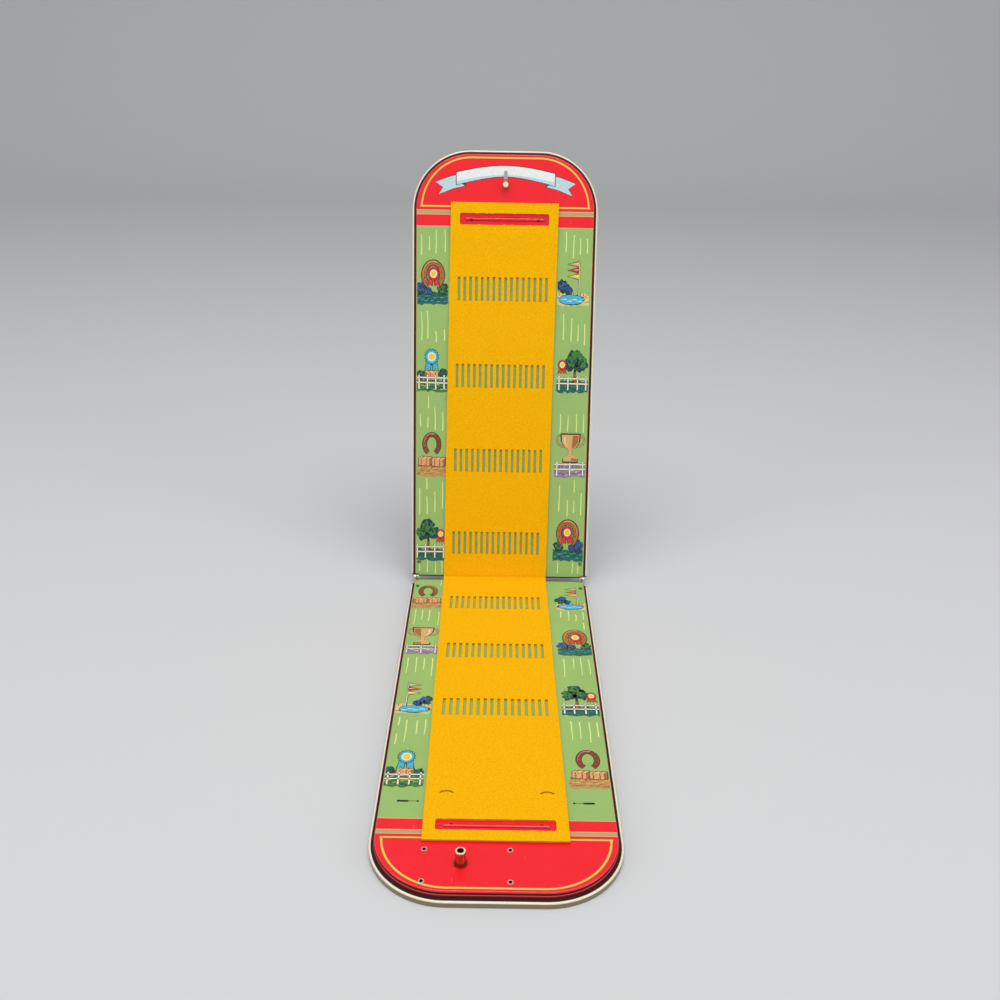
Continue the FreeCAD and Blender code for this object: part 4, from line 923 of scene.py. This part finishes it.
def lie(reach):
    """The mat's middle line, 3.9 mm left of the board's at the fold and 0.3 mm at the ends."""
    return -3.9 + 3.6 * abs(reach) / MAT_HALF_LENGTH


def step_between(value, low, high):
    part = min(max((value - low) / (high - low), 0.0), 1.0)
    return part * part * (3.0 - 2.0 * part)


def make_felt():
    """Matted fibres in two directions with light and dark flecks, and painted shade on the sides
    of its cuts.
    """
    material, tree, shader = new_material("pressed_felt")
    place = attribute(tree, "flat")["Vector"]
    crossed = stretch(tree, place, (0.35, 1.0, 1.0), 0.3)
    fibre = calc(tree, "MAXIMUM",
                 noise(tree, stretch(tree, place, (1.0, 0.35, 1.0), 0.7), 3.2, 4.0, 1.2),
                 noise(tree, crossed, 3.0, 4.0, 1.2))
    speck = rise(tree, noise(tree, place, 1.35, 3.0, 0.4), 0.62, 0.04)
    light = rise(tree, noise(tree, place, 0.95, 3.0, 0.3), 0.58, 0.07)
    dark = rise(tree, noise(tree, crossed, 1.5, 3.0, 0.6), 0.58, 0.07)
    cloud = noise(tree, place, 0.06, 3.0)
    soot = rise(tree, noise(tree, place, 0.42, 5.0, 0.8), 0.735, 0.02)
    felt = coat(tree, linear(244, 164, 0), linear(255, 194, 0), fibre)
    # The last layer is painted shade on the cut sides of the slits, windows and edges.
    felt = soiled(tree, felt, (linear(226, 138, 0), speck, 0.6), (linear(232, 146, 0), dark, 0.45),
                  (linear(255, 216, 40), light, 0.6), (linear(255, 190, 2), cloud, 0.4),
                  (linear(150, 92, 18), soot, 0.35),
                  (linear(206, 130, 10), attribute(tree, "cut")["Fac"], 0.7))
    feed(tree, shader, {"Base Color": felt, "Roughness": 0.95, "Sheen Weight": 0.06,
                        "Sheen Roughness": 0.5, "Sheen Tint": linear(255, 214, 120),
                        "Specular IOR Level": 0.06})
    bump(tree, shader, calc(tree, "MULTIPLY_ADD", speck, 0.3, fibre), 0.55, 0.00025)
    return material


def draw_slits(shape, luck):
    """Seven rows of sixteen slits, each cut a little unevenly."""
    slit_pitch, half_width, half_length = 4.82, 1.1, 9.75
    for reach in (-183.6, -112.2, -40.8, 30.6, 102.0, 173.4, 244.8):
        for number in range(16):
            x = lie(reach) + (number - 7.5) * slit_pitch + 0.1 * (luck.random() - 0.5)
            low = reach - half_length + 0.3 * (luck.random() - 0.5)
            high = reach + half_length + 0.3 * (luck.random() - 0.5)
            draw_loop(shape, ((x - half_width, low), (x + half_width, low),
                              (x + half_width, high), (x - half_width, high)))


def draw_window(shape, side, luck):
    """The window over a bar, with round corners and long edges nicked by wear."""
    radius, half_width, corner_across, corner_along = 1.5, 4.65, 35.0, 3.15
    middle = lie(BAR_REACH)
    centre = side * BAR_REACH
    ring = []
    for corner_x, corner_y, first in ((1, -1, -90), (1, 1, 0), (-1, 1, 90), (-1, -1, 180)):
        for step in range(4):
            angle = math.radians(first + 30 * step)
            ring.append((middle + corner_x * corner_across + radius * math.cos(angle),
                         centre + corner_y * corner_along + radius * math.sin(angle)))
        if corner_x == corner_y:
            for step in range(1, 34):
                x = middle + corner_x * (corner_across - 2.0 * corner_across * step / 34)
                nick = 0.5 * max(luck.random() - 0.72, 0.0) / 0.28
                ring.append((x, centre + corner_y * (half_width - nick)))
    draw_loop(shape, ring)


def draw_half_moons(shape):
    """Two thin cuts like half-moons, on the start half only."""
    reach = -277.2
    for x in (-31.6, 31.6):
        arc = []
        for radius, first, turned in ((6.75, 46, 11), (5.55, 134, -11)):
            for step in range(9):
                angle = math.radians(first + turned * step)
                arc.append((x + radius * math.cos(angle), reach + radius * math.sin(angle)))
        draw_loop(shape, arc)


def cut_mat():
    """The flat mat, finely divided along the fold so that it can bend there."""
    luck = random.Random(5)
    shape = bmesh.new()
    outline = []
    for side in (1, -1):
        for step in range(53):
            reach = side * (2.0 * MAT_HALF_LENGTH * step / 52 - MAT_HALF_LENGTH)
            ragged = 0.12 * (luck.random() - 0.5)
            outline.append((lie(reach) + side * MAT_HALF_WIDTH + ragged, reach))
    draw_loop(shape, outline)
    draw_slits(shape, luck)
    draw_window(shape, 1, luck)
    draw_window(shape, -1, luck)
    draw_half_moons(shape)
    fill_loops(shape, shape.edges[:])
    rows = [6.0 * step for step in range(-52, 53) if abs(step) > 1]
    rows += [0.5 * step for step in range(-14, 15)]
    for reach in rows:
        divide(shape, (0.0, reach, 0.0), (0.0, 1.0, 0.0))
    for across in range(-40, 41, 8):
        divide(shape, (across, 0.0, 0.0), (1.0, 0.0, 0.0))
    face_up(shape)
    bmesh.ops.solidify(shape, geom=shape.faces[:], thickness=MAT_THICKNESS)
    return shape


def mat_rest(x, y):
    """How high the underside lies: over the bars' whole travel and the fold, and rippled."""
    reach = abs(y)
    on_deck = DECK + 0.1
    lifted = 0.45 * max(1.0 - step_between(reach, 4.0, 14.0), step_between(reach, 276.0, 287.0))
    ripple = 0.10 * (1.0 + math.sin(x * 0.11 + y * 0.045) * math.sin(y * 0.083 + 1.3))
    ripple *= step_between(reach, 6.0, 30.0) * (1.0 - step_between(reach, 286.0, 300.0))
    curl = 0.12 * step_between(abs(x - lie(y)), 36.0, 44.0) * step_between(reach, 20.0, 60.0)
    return on_deck + lifted + ripple + curl


def lay_mat():
    """Lay the mat on the flat board and swing its far part up with the finish half."""
    bend_reach, middle = 2.2, -0.7
    shape = cut_mat()
    top = max(vertex.co.z for vertex in shape.verts)
    flat = shape.verts.layers.float_vector.new("flat")
    cut = shape.faces.layers.float.new("cut")
    shape.normal_update()
    for face in shape.faces:
        face.smooth = True
        face[cut] = 1.0 if abs(face.normal.z) < 0.5 else 0.0
    for edge in shape.edges:
        edge.smooth = len(edge.link_faces) < 2 or edge.calc_face_angle(0.0) < 0.8
    for vertex in shape.verts:
        x, y, z = vertex.co
        vertex[flat] = (x, y, z)
        vertex.co.z = mat_rest(x, y) + (z - top + MAT_THICKNESS)
        swing = Matrix.Rotation(LIFT * step_between(y, -bend_reach, bend_reach), 3, "X")
        vertex.co = swing @ vertex.co
    home = Matrix.Translation(PIVOT) @ Matrix.Scale(MILLIMETRE, 4)
    bmesh.ops.transform(shape, matrix=home, verts=shape.verts)
    mat = new_piece("felt_mat", shape, make_felt())
    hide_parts("mat_start", "mat_finish")
    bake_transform(mat)


lay_mat()


# Mat bars
# Pressed tin strips in the same red enamel as the ends of the board, hooked through the
# slides below, with a raised rib and two small holes.
def spots_at(tree, place, centres, radius, soft):
    """Round marks on the flat board, the same on both sides of its middle lines."""
    x, y = axes(tree, place)[:2]
    marks = []
    for centre_x, centre_y in centres:
        dx = calc(tree, "SUBTRACT", calc(tree, "ABSOLUTE", x), centre_x)
        dy = calc(tree, "SUBTRACT", calc(tree, "ABSOLUTE", y), centre_y)
        marks.append(below(tree, distance(tree, dx, dy), radius, soft))
    return either(tree, *marks)


def red_enamel(name, lift):
    """Gloss red, with painted shade round the two holes in the rib and in the creases beside it.
    """
    material, tree, shader = new_material(name)
    place = place_on_half(tree, lift)
    x, y = axes(tree, place)[:2]
    off_rib = calc(tree, "SUBTRACT", calc(tree, "ABSOLUTE", y), BAR_REACH)
    crease_shade = both(tree, band(tree, calc(tree, "ABSOLUTE", off_rib), 1.2, 1.65, 0.12),
                  below(tree, calc(tree, "ABSOLUTE", x), 32.4, 0.3))
    hole_shade = spots_at(tree, place, ((27.3, 299.9),), 1.05, 0.12)
    wear = rise(tree, noise(tree, place, 0.8, 4.0, 0.5), 0.72, 0.02)
    cloud = noise(tree, place, 0.09, 2.0)
    red = coat(tree, linear(232, 10, 28), linear(250, 22, 40), cloud)
    # Painted shade: dark red in the creases beside the rib, and near-black marks wider than the
    # real holes.
    red = soiled(tree, red, (linear(160, 20, 26), wear, 0.5), (linear(92, 6, 12), crease_shade, 0.8),
                 (linear(22, 3, 5), hole_shade, 1.0))
    feed(tree, shader, {"Base Color": red, "Coat Weight": 0.4, "Coat Roughness": 0.08,
                        "Roughness": calc(tree, "MULTIPLY_ADD", cloud, 0.10, 0.16)})
    bump(tree, shader, noise(tree, place, 0.12, 1.0), 0.12, 0.0004)
    return material


dress("start_mat_bar", red_enamel("start_enamel", 0.0))
dress("finish_mat_bar", red_enamel("finish_enamel", LIFT))


# Bare steel works
# Slides, bridge, star wheel, washer and hinge straps stamped from tinned steel sheet, left
# as they came from the press, and the spring's drawn wire.
def make_wear_group():
    """Mottled metal with fine drawn lines and specks of dirt."""
    tree, given, result = new_group(
        "metal_wear",
        [("Place", "NodeSocketVector"), ("Dark", "NodeSocketColor"),
         ("Light", "NodeSocketColor"), ("Polish", "NodeSocketFloat"),
         ("Mottle", "NodeSocketFloat"), ("Dirt", "NodeSocketFloat")],
        [("Colour", "NodeSocketColor"), ("Roughness", "NodeSocketFloat"),
         ("Height", "NodeSocketFloat")])
    place = given.outputs["Place"]
    mottle = given.outputs["Mottle"]
    cloud = noise(tree, place, mottle, 4.0, 0.4)
    streak = noise(tree, stretch(tree, place, (1.0, 0.08, 1.0)), 3.0, 3.0)
    specks = noise(tree, place, calc(tree, "MULTIPLY", mottle, 3.1), 3.0, 0.8)
    specks = rise(tree, specks, 0.66, 0.03)
    mixed = calc(tree, "MULTIPLY_ADD", cloud, 0.7, calc(tree, "MULTIPLY", streak, 0.3))
    metal = coat(tree, given.outputs["Dark"], given.outputs["Light"], mixed)
    dirt = calc(tree, "MULTIPLY", specks, given.outputs["Dirt"])
    rough = calc(tree, "MULTIPLY_ADD", cloud, 0.22, given.outputs["Polish"])
    feed(tree, result, {"Colour": coat(tree, metal, linear(84, 70, 52), dirt),
                        "Roughness": calc(tree, "MULTIPLY_ADD", specks, 0.2, rough),
                        "Height": calc(tree, "MULTIPLY_ADD", specks, -0.5, streak)})
    return tree


WEAR_GROUP = make_wear_group()


def worn_metal(name, dark, light, polish, mottle, dirt):
    material, tree, shader = new_material(name)
    wear = tree.nodes.new("ShaderNodeGroup")
    wear.node_tree = WEAR_GROUP
    place = stretch(tree, object_place(tree), (1.0 / MILLIMETRE,) * 3)
    feed(tree, wear, {"Place": place, "Dark": dark, "Light": light, "Polish": polish,
                      "Mottle": mottle, "Dirt": dirt})
    feed(tree, shader, {"Base Color": wear.outputs["Colour"], "Metallic": 1.0,
                        "Roughness": wear.outputs["Roughness"]})
    bump(tree, shader, wear.outputs["Height"], 0.3, 0.00008)
    return material


STEEL = worn_metal("tinned_steel", linear(142, 138, 128), linear(196, 192, 182), 0.24, 0.35, 0.5)
for node in ("shaker_slide", "tension_slide", "spring_anchor", "star_wheel", "crank_washer",
             "gear_bridge", "start_strap_left", "start_strap_right", "finish_strap_left",
             "finish_strap_right"):
    dress(node, STEEL)
dress("tension_spring", worn_metal("spring_wire", linear(92, 90, 88), linear(150, 148, 146),
                                   0.26, 1.2, 0.3))


# Nickel rivets and eyelets
# Turned and plated: the hinge pivots and the four eyelets of the bridge, mottled by wear, with
# painted shade in the eyelets' holes.
# The hollow strap rivets went through the print and took its green, and have painted shade in
# their mouths and round their edges.
def nickel_plate(name):
    return worn_metal(name, linear(226, 214, 192), linear(254, 246, 232), 0.34, 1.1, 0.15)


def lay_over(material, mask, colour, dulling):
    """Lay a colour over a metal, which takes that much of its metal look away."""
    tree = material.node_tree
    shader = tree.nodes["Principled BSDF"]
    metal = shader.inputs["Base Color"].links[0].from_socket
    shine = shader.inputs["Metallic"].default_value
    feed(tree, shader, {"Base Color": coat(tree, metal, colour, mask),
                        "Metallic": calc(tree, "MULTIPLY_ADD", mask, -dulling, shine)})


def eyelets_with_hole_shade():
    material = nickel_plate("eyelet_nickel")
    tree = material.node_tree
    hole_shade = spots_at(tree, place_on_half(tree, 0.0),
                     ((42.2, 320.2), (42.2, 344.8), (8.2, 320.2), (8.2, 344.8)), 1.15, 0.12)
    # Painted shade: near black in the eyelets' holes.
    lay_over(material, hole_shade, linear(22, 14, 12), 0.9)
    return material


def printed_rivet(name, lift):
    """A hollow rivet under the green print, with painted shade in its mouth and round its edge."""
    material = worn_metal(name, linear(104, 132, 78), linear(186, 206, 150), 0.3, 1.1, 0.3)
    tree = material.node_tree
    tree.nodes["Principled BSDF"].inputs["Metallic"].default_value = 0.7
    place = place_on_half(tree, lift)
    centre = ((69.5, 13.2),)
    # Painted shade: a dark mouth on the solid head, and a dark ring round its edge.
    mouth_shade = spots_at(tree, place, centre, 0.72, 0.1)
    edge = without(tree, spots_at(tree, place, centre, 1.4, 0.08))
    dark = either(tree, mouth_shade, calc(tree, "MULTIPLY", edge, 0.8))
    lay_over(material, dark, linear(24, 30, 18), 0.6)
    return material


dress("hinge_pivots", nickel_plate("pivot_nickel"))
dress("bridge_eyelets", eyelets_with_hole_shade())
dress("start_strap_rivets", printed_rivet("start_rivet", 0.0))
dress("finish_strap_rivets", printed_rivet("finish_rivet", LIFT))


# Brass turnings
# The crank post with its socket, its bush and the thumb post, turned from rod. The tops are
# painted pale as a highlight, and the bush is coloured red-brown as a painted reflection of
# the board's red.
def brass_with_top_highlight(name, lift, top):
    material = worn_metal(name, linear(150, 92, 52), linear(232, 176, 116), 0.10, 0.6, 0.35)
    tree = material.node_tree
    height = axes(tree, place_on_half(tree, lift))[2]
    # Painted highlight: the post's top is coloured pale, as if it caught the glare.
    top_highlight = rise(tree, height, top, 0.12)
    lay_over(material, top_highlight, linear(255, 232, 204), 0.45)
    roughness = tree.nodes["Principled BSDF"].inputs["Roughness"]
    worn = roughness.links[0].from_socket
    tree.links.new(calc(tree, "MULTIPLY_ADD", top_highlight, 0.3, worn), roughness)
    return material


dress("crank_post", brass_with_top_highlight("post_brass", 0.0, DECK + 9.75))
dress("thumb_post", brass_with_top_highlight("thumb_brass", LIFT, DECK + 4.7))
# Painted reflection: the bush's brass is coloured red-brown for the board's red reflected in it.
dress("crank_bush", worn_metal("bush_red_reflection", linear(128, 48, 34), linear(190, 92, 62), 0.2, 0.6,
                               0.3))
